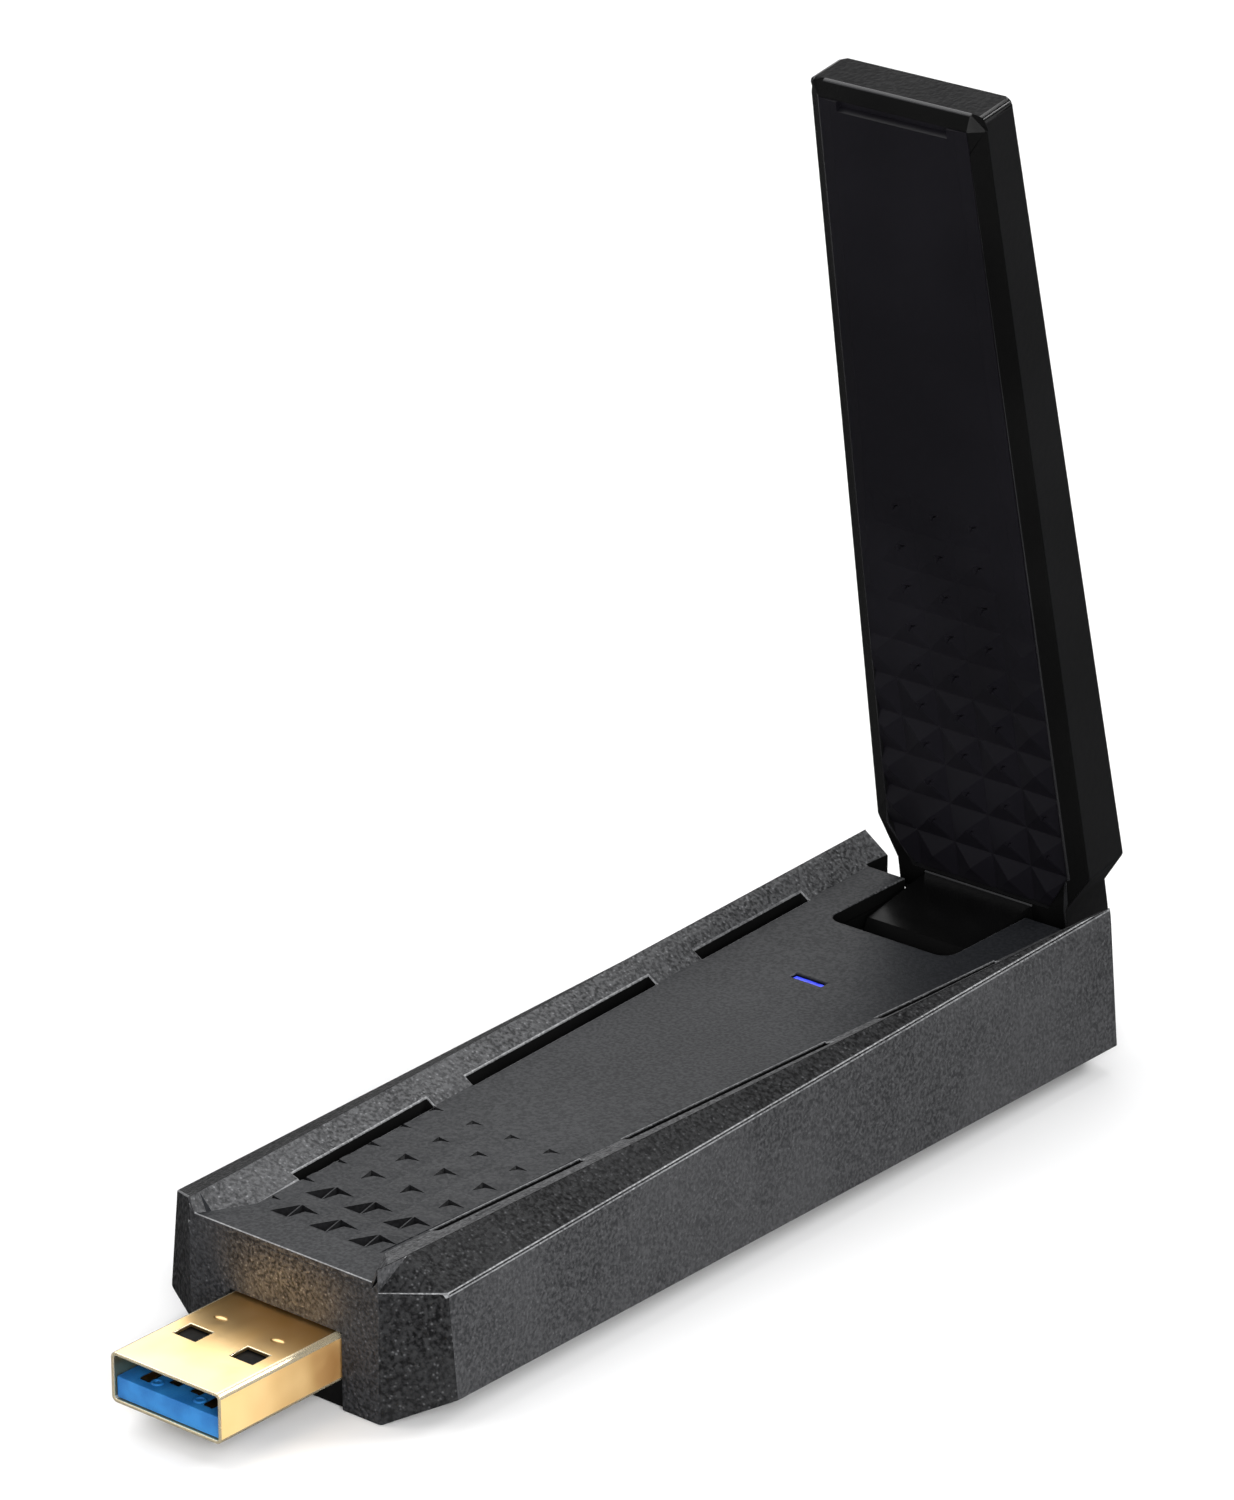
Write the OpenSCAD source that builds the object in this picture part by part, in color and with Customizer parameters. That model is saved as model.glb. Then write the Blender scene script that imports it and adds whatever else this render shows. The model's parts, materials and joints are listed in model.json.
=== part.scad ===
// USB wireless network adapter with a folding antenna paddle.
// Origin: underside plane, centre line, middle of the housing's length.
// +X is to the right seen from behind the plug's mouth, +Y runs from the plug to the hinge, +Z is up.
// Every pair of numbers is [value at the plug end, value at the hinge end] of the housing.

/* [Housing outside] */
// Length of the housing, without the plug
housing_len = 93.3; // [93:0.1:94]
// Half width of the flat underside
base_half = [10.35, 11.5]; // [10.2:0.05:11.6]
// Half width along the widest line of the side walls
widest_half = [15.8, 15.15]; // [15:0.05:16]
// Height of the widest line
widest_z = [2.8, 2.3]; // [2:0.05:3]
// Half width along the top edge of the side walls
shoulder_half = [14.9, 14.1]; // [14:0.05:15]
// Height of the top edge of the side walls
shoulder_z = [11.85, 14.25]; // [11.5:0.05:14.5]
// Half width between the two ridges
ridge_half = [10.35, 13.8]; // [10:0.05:14]
// Height of the ridges
ridge_z = [14.0, 15.25]; // [13.8:0.05:15.5]
// Distance that the front corners are cut back
corner_cut = 3.35; // [3:0.05:4]
// Wall thickness of the lower housing
wall = 1.5; // [1.3:0.1:1.6]
// Floor thickness of the lower housing
floor_t = 1.4; // [1.2:0.1:1.5]

/* [Top cover] */
// Half width of the flat panel, at the foot of the slopes
panel_half = [6.8, 11.05]; // [6.5:0.05:11.5]
// Half width of the flat panel at its very front edge, where its corners open out
panel_mouth_half = 9.7; // [9:0.1:9.8]
// Length over which the panel's front corners close in again
panel_mouth_len = 4.6; // [4:0.1:5]
// Height of the flat panel
panel_z = [12.7, 13.45]; // [12.5:0.05:13.5]
// Thickness of the cover
cover_t = 1.4; // [1.2:0.1:1.4]
// Thickness of the cover's lip over the front wall
cover_lip_t = 0.5; // [0.4:0.1:0.7]
// Width of a vent slot
vent_w = 0.95; // [0.8:0.05:1.2]
// Width of the status light's window
window_w = 3.5; // [3:0.1:4]
// Length of the status light's window along the housing
window_l = 1.0; // [0.9:0.1:1.2]

/* [Plug] */
// Width of the plug's shell
plug_w = 12.0; // [11.9:0.05:12.1]
// Height of the plug's shell
plug_h = 4.5; // [4.4:0.05:4.6]
// Length of the plug in front of the housing
plug_len = 13.95; // [13.5:0.05:14.5]
// Height of the plug's centre above the underside
plug_z = 4.63; // [4.5:0.01:4.8]
// Sheet thickness of the plug's shell
plug_sheet = 0.3; // [0.25:0.01:0.35]
// Height of the insulator tongue
tongue_h = 1.9; // [1.8:0.05:1.95]

/* [Hinge] */
// Position of the hinge axis along the housing
hinge_y = 39.9; // [39.8:0.05:40]
// Height of the hinge axis above the underside
hinge_z = 6.65; // [6.6:0.05:6.7]
// Angle of the antenna from folded flat, as stored
rest_angle = 79; // [0:1:110]
// Half width of the hinge notch
notch_half = 6.8; // [6.7:0.05:6.9]
// Front wall of the hinge notch
notch_y = 32.2; // [32:0.1:32.4]
// Half width of the antenna's foot
foot_half = 6.1; // [6:0.05:6.1]
// Radius of the foot's barrel
barrel_r = 5.1; // [5:0.05:5.2]
// Radius of the hollow hinge pins
pin_r = 1.7; // [1.6:0.05:1.8]

/* [Antenna] */
// Distance from the hinge axis to the tip of the antenna
antenna_len = 84.4; // [83:0.1:85]
// Half width of the antenna at its shoulders
antenna_half = 11.95; // [11.8:0.05:12]
// Half width of the antenna at its tip
tip_half = 9.35; // [9:0.05:9.5]
// Distance from the hinge axis to the flat face of the front plate
face_e = 7.0; // [7:0.05:7.1]
// Distance from the hinge axis to the back of the antenna at the shoulders
back_e = 13.55; // [13.4:0.05:13.6]
// Distance from the hinge axis to the back of the antenna at the tip
tip_back_e = 12.2; // [12.1:0.05:12.4]
// Half width of the neck below the shoulders
neck_half = 9.5; // [9.4:0.05:9.6]

/* [Hidden] */
$fn = 48;

seam = 0.05;
// Straight walls bow out by this much where three corners would otherwise lie in one line.
bow = 0.02;
front_y = -housing_len / 2;
rear_y = housing_len / 2;
tip_y = front_y - plug_len;
high = 20;

// Lower housing
ledge_w = 0.8;
ledge_drop = 2.3;
front_wall_t = 1.25;
lip_ramp = 0.4;
tray_front_y = front_y + front_wall_t;
tray_front_half = 9.4;
tray_corner_y = front_y + corner_cut + 0.85;
rear_wall_y = 43.6;
tray_rear_y = rear_wall_y - 1.4;
rail_inner = 11.15;
cheek_half = 8.4;
hinge_block_y = 31;
hinge_block_z = 11.75;
hinge_sweep_r = 6.3;
notch_step_z = 8.5;
notch_floor_y = 34.3;
notch_corner_r = 1.5;
plug_slot_half = 6.35;
plug_slot_z = 7.1;

// Vent slots: [first y, last y]
vents = [[-36.6, -19], [-13.8, 11.8], [18.4, 34.3]];
window_x = 0.3;
window_y = 20.85;
clip_ys = [-32, -4, 24];

// Plug
plug_inside = 4.6;
plug_corner_r = 0.55;
plug_window = [2.5, 2.15];
plug_window_x = 3.13;
plug_window_y = tip_y + 5.55;
mouth_depth = 12;
plug_floor = plug_z - plug_h / 2 + plug_sheet + 0.03;
plug_back_y = front_y + plug_inside;
tongue_half = plug_w / 2 - plug_sheet - 0.05;
contact_pitch = 2.33;
contact_w = 1.0;
contact_t = 0.2;
rear_contact_pitch = 2.0;

// Main board
board_z = 3.6;
board_t = 1.0;
board_top = board_z + board_t;
board_half = 9.5;
board_front_y = plug_back_y + 0.25;
board_rear_y = 30.3;
screw_spots = [[7.2, -33.5], [-7.2, 14]];
screw_r = 0.7;
boss_r = 2.1;
chip_y = -15;
chip_w = 12;
chip_t = 1.0;
can_half = 8.5;
can_len = 24;
can_h = 2.2;
can_sheet = 0.25;
socket_x = 5;
socket_y = 26.8;
socket_top = board_top + 1.1;

// Coaxial leads
coax_r = 0.56;
coax_sides = 8;
coax_split_x = 3.0;
coax_z = socket_top + 0.55;

// Antenna, drawn folded flat: tip towards -Y, back up, hinge axis along X through the origin
shoulder_s = 9.55;
neck_s = 6.1;
antenna_start_s = 2.7;
neck_sweep_r = 8.05;
edge_e = 8.1;
neck_edge_e = 7.3;
strip_w = [1.9, 1.5];
end_strip = 1.35;
seam_e = 7.2;
plate_back_e = 8.2;
plate_flat_inset = 1.3;
back_chamfer = 0.35;
shell_t = 1.2;
foot_top_s = 5.75;
foot_front_e = -1.65;
heel_e = 12.3;
tongue_s = 14;
tongue_e = 11.85;
foot_tongue_half = 5.0;
foot_slot_half = 3.2;
lead_slot_half = 1.8;
foot_screw_x = 3.4;
foot_screw_s = 10.5;
antenna_board_e = 9.6;
antenna_board_t = 0.8;
antenna_board_s = [20, 79];
antenna_board_half = [8.6, 6.9];

housing_grey = [0.20, 0.20, 0.21];
antenna_black = [0.06, 0.06, 0.065];
gold = [0.93, 0.76, 0.45];
steel = [0.62, 0.63, 0.65];
copper = [0.80, 0.50, 0.30];

// Straight-line value between the two ends of the housing.
function along(y, pair) = pair[0] + (pair[1] - pair[0]) * (y - front_y) / housing_len;

// Right half of an outline, from bottom to top, completed by its mirror image.
function both_sides(half) = concat(
    half,
    [for (i = [len(half) - 1:-1:0]) [-half[i][0], half[i][1]]]
);

// Quads that fill an outline of n points whose two halves rise from bottom to top.
function rungs(n) = [for (i = [0:n / 2 - 2]) [i, i + 1, n - 2 - i, n - 1 - i]];

// Closed solid through a list of [y, outline], every outline having the same number of points.
// Its two ends are filled with the quads in caps, or with rungs.
module skin(stations, caps = []) {
    n = len(stations[0][1]);
    last = len(stations) - 1;
    points = [for (s = stations) for (p = s[1]) [p[0], s[0], p[1]]];
    quads = len(caps) > 0 ? caps : rungs(n);
    front_cap = [for (q = quads) [q[3], q[2], q[1], q[0]]];
    rear_cap = [for (q = quads) [for (i = q) last * n + i]];
    walls = [
        for (k = [0:last - 1], i = [0:n - 1])
            let (a = k * n + i, b = k * n + (i + 1) % n)
                each [[a, b, b + n], [a, b + n, a + n]]
    ];
    polyhedron(points = points, faces = concat(front_cap, walls, rear_cap));
}

// Outline of the housing across its length; cut narrows it where the front corners are cut back.
function housing_outline(y, cut = false) = let (
    ridge = along(y, ridge_half)
) both_sides([
    [along(y, base_half), 0],
    [cut ? ridge + bow : along(y, widest_half), along(y, widest_z)],
    [cut ? ridge + bow : along(y, shoulder_half), along(y, shoulder_z)],
    [ridge, along(y, ridge_z)]
]);

// Outline of the space for the board inside the lower housing.
function tray_outline(y, narrow = false) = let (
    opening = along(y, ridge_half) - ledge_w
) both_sides([
    [narrow ? tray_front_half : along(y, base_half) - 0.4, floor_t],
    [narrow ? tray_front_half + bow : along(y, widest_half) - wall, along(y, widest_z) + 0.5],
    [narrow ? tray_front_half + 2 * bow : along(y, shoulder_half) - wall, along(y, shoulder_z) - wall],
    [narrow ? tray_front_half + bow : opening, along(y, ridge_z) - ledge_drop],
    [narrow ? tray_front_half : opening, along(y, ridge_z)]
]);

// Half width of the flat panel, which opens out at the very front.
function panel_edge(y) = let (
    open = max(0, 1 - (y - front_y) / panel_mouth_len)
) along(y, panel_half) + (panel_mouth_half - panel_half[0]) * open;

// Outline of the cover: the panel and the two slopes up to the ridges.
function cover_outline(y, thickness) = both_sides([
    [panel_edge(y), along(y, panel_z) - thickness],
    [along(y, ridge_half) - 2 * seam, along(y, ridge_z) - thickness],
    [along(y, ridge_half) - 2 * seam, along(y, ridge_z)],
    [panel_edge(y), along(y, panel_z)]
]);

// Quads that fill the cover's outline: under one slope, under the panel, under the other slope.
cover_caps = [[0, 1, 2, 3], [0, 3, 4, 7], [4, 5, 6, 7]];

// Outline of everything above the cover's underside, taken out of the lower housing.
function cover_space_outline(y, thickness) = both_sides([
    [panel_edge(y), along(y, panel_z) - thickness - seam],
    [along(y, ridge_half) - seam, along(y, ridge_z) - thickness - seam],
    [along(y, ridge_half) - seam, high]
]);

// The cover thins to a lip over the front wall: [y, thickness] from front to rear.
function cover_steps(y0, y1) = [
    [y0, cover_lip_t],
    [front_y + front_wall_t - lip_ramp, cover_lip_t],
    [front_y + front_wall_t, cover_t],
    [front_y + panel_mouth_len, cover_t],
    [y1, cover_t]
];

// Box centred on X.
module bar(half_x, y0, y1, z0, z1) {
    translate([-half_x, y0, z0])
        cube([2 * half_x, y1 - y0, z1 - z0]);
}

// Cylinder along X between two positions.
module x_rod(r, x0, x1) {
    translate([x0, 0, 0])
        rotate([0, 90, 0])
            cylinder(r = r, h = x1 - x0);
}

// Flat outline drawn in Y and Z, made 2 * half_x thick along X.
module across(half_x) {
    translate([-half_x, 0, 0])
        rotate([90, 0, 90])
            linear_extrude(2 * half_x)
                children();
}

module at_hinge() {
    translate([0, hinge_y, hinge_z])
        children();
}

// Antenna parts are drawn folded flat and then opened by the rest angle.
module on_antenna() {
    at_hinge()
        rotate([-rest_angle, 0, 0])
            children();
}

// Clearance around the antenna's foot, open to the top, the rear and the underside.
module notch_space() {
    across(notch_half) {
        translate([notch_y, notch_step_z])
            square([high, high]);
        translate([notch_floor_y, -1])
            square([high, high]);
        translate([hinge_y, hinge_z])
            circle(r = hinge_sweep_r);
    }
}

module lower_housing() {
    color(housing_grey)
        difference() {
            union() {
                difference() {
                    skin([
                        [front_y, housing_outline(front_y, true)],
                        [front_y + corner_cut, housing_outline(front_y + corner_cut)],
                        [rear_y, housing_outline(rear_y)]
                    ]);
                    skin([
                        [tray_front_y, tray_outline(tray_front_y, true)],
                        [tray_corner_y, tray_outline(tray_corner_y)],
                        [tray_rear_y, tray_outline(tray_rear_y)]
                    ]);
                    skin([for (c = cover_steps(front_y - 1, rear_y + 1)) [c[0], cover_space_outline(c[0], c[1])]]);
                }
                bar(cheek_half, hinge_block_y, rear_wall_y, 0, hinge_block_z);
                for (p = screw_spots)
                    translate([p[0], p[1], floor_t / 2])
                        cylinder(r = boss_r, h = board_z - floor_t / 2);
            }
            for (p = screw_spots)
                translate([p[0], p[1], floor_t])
                    cylinder(r = screw_r, h = high);
            bar(rail_inner, rear_wall_y, rear_y + 1, -1, high);
            bar(plug_slot_half, front_y - 1, tray_front_y + 0.15, -1, plug_slot_z);
            notch_space();
            at_hinge()
                x_rod(pin_r + 0.01, -cheek_half - 0.5, cheek_half + 0.5);
        }
}

// Slot along the foot of one slope, parallel to the panel's edge.
module vent_slot(y0, y1) {
    lean = atan((panel_half[1] - panel_half[0]) / housing_len);
    translate([panel_edge(y0) - 0.1, y0, 0])
        rotate([0, 0, -lean])
            cube([vent_w, y1 - y0, high]);
}

module top_cover() {
    color(housing_grey)
        difference() {
            union() {
                skin([for (c = cover_steps(front_y, rear_y)) [c[0], cover_outline(c[0], c[1])]], cover_caps);
                for (side = [-1, 1], y = clip_ys)
                    translate([side * (along(y, ridge_half) - 1.5) - 0.3, y - 1.5, 10.6])
                        cube([0.6, 3, 3]);
            }
            bar(notch_half - notch_corner_r, notch_y, rear_y + 1, 0, high);
            bar(notch_half, notch_y + notch_corner_r, rear_y + 1, 0, high);
            for (side = [-1, 1])
                translate([side * (notch_half - notch_corner_r), notch_y + notch_corner_r, 0])
                    cylinder(r = notch_corner_r, h = high);
            bar(rail_inner, rear_wall_y, rear_y + 1, 0, high);
            for (v = vents) {
                vent_slot(v[0], v[1]);
                mirror([1, 0, 0])
                    vent_slot(v[0], v[1]);
            }
            translate([window_x, window_y, 0])
                bar(window_w / 2, -window_l / 2, window_l / 2, 0, high);
        }
}

// Rectangle with round corners, centred.
module round_rect(w, h, r) {
    square([w - 2 * r, h], center = true);
    square([w, h - 2 * r], center = true);
    for (i = [-1, 1], j = [-1, 1])
        translate([i * (w / 2 - r), j * (h / 2 - r)])
            circle(r = r);
}

// Outline drawn in X and Z, extruded along Y.
module lengthwise(y0, y1) {
    translate([0, y1, 0])
        rotate([90, 0, 0])
            linear_extrude(y1 - y0)
                children();
}

module usb_shell() {
    color(gold)
        difference() {
            lengthwise(tip_y, plug_back_y)
                translate([0, plug_z])
                    round_rect(plug_w, plug_h, plug_corner_r);
            lengthwise(tip_y - 1, plug_back_y + 1)
                translate([0, plug_z])
                    round_rect(plug_w - 2 * plug_sheet, plug_h - 2 * plug_sheet, plug_corner_r - plug_sheet);
            for (side = [-1, 1])
                translate([side * plug_window_x, plug_window_y, 0])
                    bar(plug_window[0] / 2, 0, plug_window[1], 0, high);
        }
}

module usb_insulator() {
    color([0.16, 0.45, 0.72])
        difference() {
            union() {
                bar(tongue_half, tip_y + 0.3, plug_back_y, plug_floor, plug_floor + tongue_h);
                bar(tongue_half, tip_y + mouth_depth, plug_back_y, plug_floor, plug_z + 1.9);
            }
            for (i = [-1.5:1.5])
                translate([i * contact_pitch, 0, 0])
                    bar(contact_w / 2 + 0.05, contact_start(i) - 0.1, tip_y + 8.2,
                        plug_floor + tongue_h - contact_t - 0.05, plug_floor + tongue_h + 1);
            for (i = [-2:2])
                translate([i * rear_contact_pitch, 0, 0])
                    bar(contact_w / 2 - 0.15, tip_y + 8.9, tip_y + mouth_depth - 0.6,
                        plug_floor + tongue_h - contact_t - 0.05, plug_floor + tongue_h + 1);
        }
}

// The two outer contacts reach further forward, so that they touch first.
function contact_start(i) = tip_y + (abs(i) > 1 ? 1.3 : 2.3);

module usb_contacts_front() {
    color(copper)
        for (i = [-1.5:1.5])
            translate([i * contact_pitch, 0, 0])
                bar(contact_w / 2, contact_start(i), tip_y + 8.1,
                    plug_floor + tongue_h - contact_t, plug_floor + tongue_h);
}

// Each rear contact has a raised touch pad at its front end.
module usb_contacts_rear() {
    top = plug_floor + tongue_h;
    color(copper)
        for (i = [-2:2])
            translate([i * rear_contact_pitch, 0, 0]) {
                bar(contact_w / 2 - 0.2, tip_y + 9, tip_y + mouth_depth - 0.7, top - contact_t, top);
                bar(contact_w / 2 - 0.2, tip_y + 9, tip_y + 9.9, top - contact_t, top + 0.25);
            }
}

module usb_collar() {
    color([0.05, 0.05, 0.05])
        difference() {
            union() {
                bar(plug_slot_half - 0.05, front_y + 0.4, tray_front_y + 0.1, 0.1, plug_slot_z - 0.05);
                bar(plug_slot_half + 0.9, tray_front_y + 0.05, front_y + 3.4, floor_t + 0.05, 8.2);
            }
            lengthwise(front_y - 1, front_y + 5)
                translate([0, plug_z])
                    round_rect(plug_w + 0.06, plug_h + 0.06, plug_corner_r);
        }
}

module main_board() {
    color([0.06, 0.26, 0.16])
        difference() {
            bar(board_half, board_front_y, board_rear_y, board_z, board_top);
            for (p = screw_spots)
                translate([p[0], p[1], 0])
                    cylinder(r = screw_r + 0.3, h = high);
        }
}

module radio_chip() {
    color([0.10, 0.10, 0.11])
        translate([0, chip_y, 0])
            bar(chip_w / 2, -chip_w / 2, chip_w / 2, board_top, board_top + chip_t);
}

module thermal_pad() {
    color([0.55, 0.62, 0.72])
        translate([0, chip_y, 0])
            bar(5, -5, 5, board_top + chip_t, board_top + can_h - can_sheet);
}

module shield_can() {
    color(steel)
        translate([0, chip_y, 0])
            difference() {
                bar(can_half, -can_len / 2, can_len / 2, board_top, board_top + can_h);
                bar(can_half - can_sheet, can_sheet - can_len / 2, can_len / 2 - can_sheet,
                    board_top - 1, board_top + can_h - can_sheet);
            }
}

module crystal() {
    color(steel)
        translate([-6, 3.5, 0])
            bar(1.6, -1.25, 1.25, board_top, board_top + 0.8);
}

module power_inductors() {
    color([0.16, 0.16, 0.17])
        for (y = [5, 11])
            translate([3.5, y, 0])
                bar(2, -2, 2, board_top, board_top + 1.8);
}

module filter_capacitors() {
    color([0.72, 0.60, 0.42])
        for (x = [-7, -4.5, -2, 0.5], y = [-35, -32])
            translate([x, y, 0])
                bar(0.8, -0.4, 0.4, board_top, board_top + 0.8);
}

module status_led() {
    color([0.85, 0.90, 1.0])
        translate([window_x, window_y, 0])
            bar(0.8, -0.4, 0.4, board_top, board_top + 0.6);
}

// Clear rod from the light up to just below the panel's surface, with a shoulder under the cover.
module light_pipe() {
    foot_z = board_top + 0.7;
    shoulder_top = along(window_y, panel_z) - cover_t - 0.1;
    color([0.25, 0.35, 1.0])
        translate([window_x, window_y, 0]) {
            bar(window_w / 2 - seam, seam - window_l / 2, window_l / 2 - seam,
                foot_z, along(window_y, panel_z) - 0.25);
            bar(window_w / 2 + 0.6, -1, 1, shoulder_top - 0.6, shoulder_top);
        }
}

module coax_sockets() {
    color(gold)
        for (side = [-1, 1])
            translate([side * socket_x, socket_y, board_top]) {
                bar(1.3, -1.3, 1.3, 0, 0.35);
                cylinder(r = 0.95, h = socket_top - board_top);
            }
}

function unit(v) = v / norm(v);

// Point on a smooth curve through the route, between point i and the next one.
function curve_point(p, i, t) = let (
    a = i > 0 ? p[i - 1] : 2 * p[0] - p[1],
    b = p[i],
    c = p[i + 1],
    d = i + 2 < len(p) ? p[i + 2] : 2 * c - b
) 0.5 * (2 * b + (c - a) * t + (2 * a - 5 * b + 4 * c - d) * t * t + (3 * b - a - 3 * c + d) * t * t * t);

function smooth_route(p, steps) = concat(
    [for (i = [0:len(p) - 2], k = [0:steps - 1]) curve_point(p, i, k / steps)],
    [p[len(p) - 1]]
);

// Round tube along a route.
module tube(route, radius, steps = 3) {
    path = smooth_route(route, steps);
    n = coax_sides;
    last = len(path) - 1;
    lean = [1, 1, 1];
    points = [
        for (i = [0:last])
            let (
                ahead = unit(path[min(i + 1, last)] - path[max(i - 1, 0)]),
                across_1 = unit(cross(ahead, lean)),
                across_2 = cross(ahead, across_1)
            )
            for (k = [0:n - 1])
                path[i] + radius * (cos(360 * k / n) * across_1 + sin(360 * k / n) * across_2)
    ];
    start_cap = [[for (k = [0:n - 1]) k]];
    end_cap = [[for (k = [n - 1:-1:0]) last * n + k]];
    walls = [
        for (i = [0:last - 1], k = [0:n - 1])
            let (a = i * n + k, b = i * n + (k + 1) % n)
                each [[a, b + n, b], [a, a + n, b + n]]
    ];
    polyhedron(points = points, faces = concat(start_cap, walls, end_cap));
}

// Lead of the right side: from its socket, round the hinge cheek and in along the hinge axis.
body_route = [
    [5, 27.8, coax_z], [5.2, 28.4, coax_z], [6.6, 29.3, 6.3], [9.2, 30, 6.4], [10.8, 32, 6.5],
    [11, 35, hinge_z], [10.9, 37.8, hinge_z], [10, 39.4, hinge_z], [8.6, hinge_y, hinge_z],
    [6, hinge_y, hinge_z], [coax_split_x + 0.05, hinge_y, hinge_z]
];

module body_coax() {
    translate([socket_x, socket_y, socket_top + 0.05])
        cylinder(r = 1.25, h = 1.0);
    tube(body_route, coax_r);
}

module body_coax_left() {
    color([0.12, 0.12, 0.13])
        mirror([1, 0, 0])
            body_coax();
}

module body_coax_right() {
    color([0.55, 0.55, 0.57])
        body_coax();
}

module board_screws() {
    color(steel)
        for (p = screw_spots)
            translate([p[0], p[1], 0]) {
                translate([0, 0, floor_t + 0.2])
                    cylinder(r = screw_r, h = board_top - floor_t);
                translate([0, 0, board_top])
                    cylinder(r = 1.5, h = 0.7);
            }
}

module hinge_pins() {
    color(steel)
        at_hinge()
            for (side = [-1, 1])
                scale([side, 1, 1])
                    difference() {
                        x_rod(pin_r, coax_split_x + 0.35, cheek_half);
                        x_rod(0.8, coax_split_x, cheek_half + 1);
                    }
}

module friction_washers() {
    color([0.75, 0.75, 0.72])
        at_hinge()
            for (side = [-1, 1])
                scale([side, 1, 1])
                    difference() {
                        x_rod(4, foot_half + 0.08, notch_half - 0.02);
                        x_rod(pin_r + 0.02, foot_half, notch_half);
                    }
}

// Straight-line value along the antenna between its shoulders and its tip.
function down_paddle(s, at_shoulder, at_tip) =
    at_shoulder + (at_tip - at_shoulder) * (s - shoulder_s) / (antenna_len - shoulder_s);

function paddle_half(s) = s <= neck_s
    ? neck_half
    : s < shoulder_s
        ? neck_half + (antenna_half - neck_half) * (s - neck_s) / (shoulder_s - neck_s)
        : down_paddle(s, antenna_half, tip_half);

function paddle_back(s) = down_paddle(s, back_e, tip_back_e);

function paddle_edge(s) = s <= neck_s ? neck_edge_e : edge_e;

// Half width of the front plate's opening.
function seam_half(s) = paddle_half(s) - down_paddle(s, strip_w[0], strip_w[1]);

// Outline of the closed antenna; at the tip its front strip slopes back to the edge.
function paddle_outline(s, at_end = false) = both_sides([
    [seam_half(s), at_end ? edge_e - seam : seam_e],
    [paddle_half(s), paddle_edge(s)],
    [paddle_half(s), paddle_back(s) - back_chamfer],
    [paddle_half(s) - back_chamfer, paddle_back(s)]
]);

// Outline of the plate, grown by gap.
function plate_outline(s, front_e, gap) = both_sides([
    [seam_half(s) - plate_flat_inset, front_e],
    [seam_half(s) + gap, seam_e - 3 * gap],
    [seam_half(s) + gap, plate_back_e + gap]
]);

plate_s = [foot_top_s + 0.1, shoulder_s, antenna_len - end_strip];

module plate_solid(front_e, gap) {
    skin([
        for (s = [plate_s[2] + gap, plate_s[1], plate_s[0] - gap]) [-s, plate_outline(s, front_e, gap)]
    ]);
}

// Outline of the space for the board inside the antenna.
function hollow_outline(s) = both_sides([
    [seam_half(s) - 0.3, plate_back_e],
    [paddle_half(s) - shell_t - 0.2, plate_back_e + 1],
    [paddle_half(s) - shell_t - 0.2, paddle_back(s) - shell_t]
]);

module antenna_back_cover() {
    color(antenna_black)
        on_antenna()
            difference() {
                union() {
                    difference() {
                        skin([
                            [-antenna_len, paddle_outline(antenna_len, true)],
                            [-plate_s[2], paddle_outline(plate_s[2])],
                            [-shoulder_s, paddle_outline(shoulder_s)],
                            [-neck_s, paddle_outline(neck_s)],
                            [-antenna_start_s, paddle_outline(antenna_start_s)]
                        ]);
                        skin([
                            for (s = [antenna_len - shell_t - 0.6, shoulder_s, neck_s + 0.6])
                                [-s, hollow_outline(s)]
                        ]);
                        plate_solid(face_e - 1, seam);
                    }
                    for (side = [-1, 1])
                        translate([side * foot_screw_x, -foot_screw_s, tongue_e + seam])
                            cylinder(r = 1.5, h = 0.9);
                    for (side = [-1, 1], s = [26, 74])
                        translate([side * 4.5, -s, antenna_board_e + antenna_board_t])
                            cylinder(r = 1.1, h = paddle_back(s) - antenna_board_e - antenna_board_t - 0.6);
                }
                bar(foot_tongue_half + seam, -neck_s - 1.5, 0, plate_back_e, tongue_e + seam);
                x_rod(neck_sweep_r, -antenna_half, antenna_half);
                for (side = [-1, 1])
                    translate([side * foot_screw_x, -foot_screw_s, 0])
                        cylinder(r = screw_r, h = tongue_e + 0.9);
            }
}

// The plate has a fingernail recess in its end edge.
module antenna_front_plate() {
    color([0.09, 0.09, 0.095])
        on_antenna()
            difference() {
                plate_solid(face_e, 0);
                across(5.9)
                    translate([-plate_s[2], 0])
                        polygon([[-1, face_e - 1], [1.35, face_e - 1], [0.6, seam_e + 0.4], [-1, seam_e + 0.4]]);
            }
}

// Barrel, web and heel, seen from the side: outline in -s and e.
module foot_profile() {
    circle(r = barrel_r);
    polygon([
        [0, 0], [-4.2, -2.9], [-foot_top_s, foot_front_e], [-foot_top_s, seam_e - 3 * seam - 0.1],
        [-antenna_start_s + seam, seam_e - 3 * seam - 0.1], [-antenna_start_s + seam, heel_e],
        [1.6, heel_e], [2.5, heel_e - 0.9], [4.9, 1.4]
    ]);
}

module antenna_foot() {
    color([0.03, 0.03, 0.035])
        on_antenna()
            difference() {
                union() {
                    across(foot_half)
                        foot_profile();
                    bar(foot_tongue_half, -tongue_s, -antenna_start_s + 2 * seam,
                        plate_back_e + 2 * seam, tongue_e);
                }
                x_rod(pin_r + 0.05, -foot_half - 1, foot_half + 1);
                bar(foot_slot_half, -1, 1, -1, 9.9);
                bar(lead_slot_half, -tongue_s - 1, 1, 8, 9.9);
                for (side = [-1, 1])
                    translate([side * foot_screw_x, -foot_screw_s, 0]) {
                        cylinder(r = screw_r + 0.1, h = high);
                        cylinder(r = 1.35, h = 9.2);
                    }
            }
}

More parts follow.
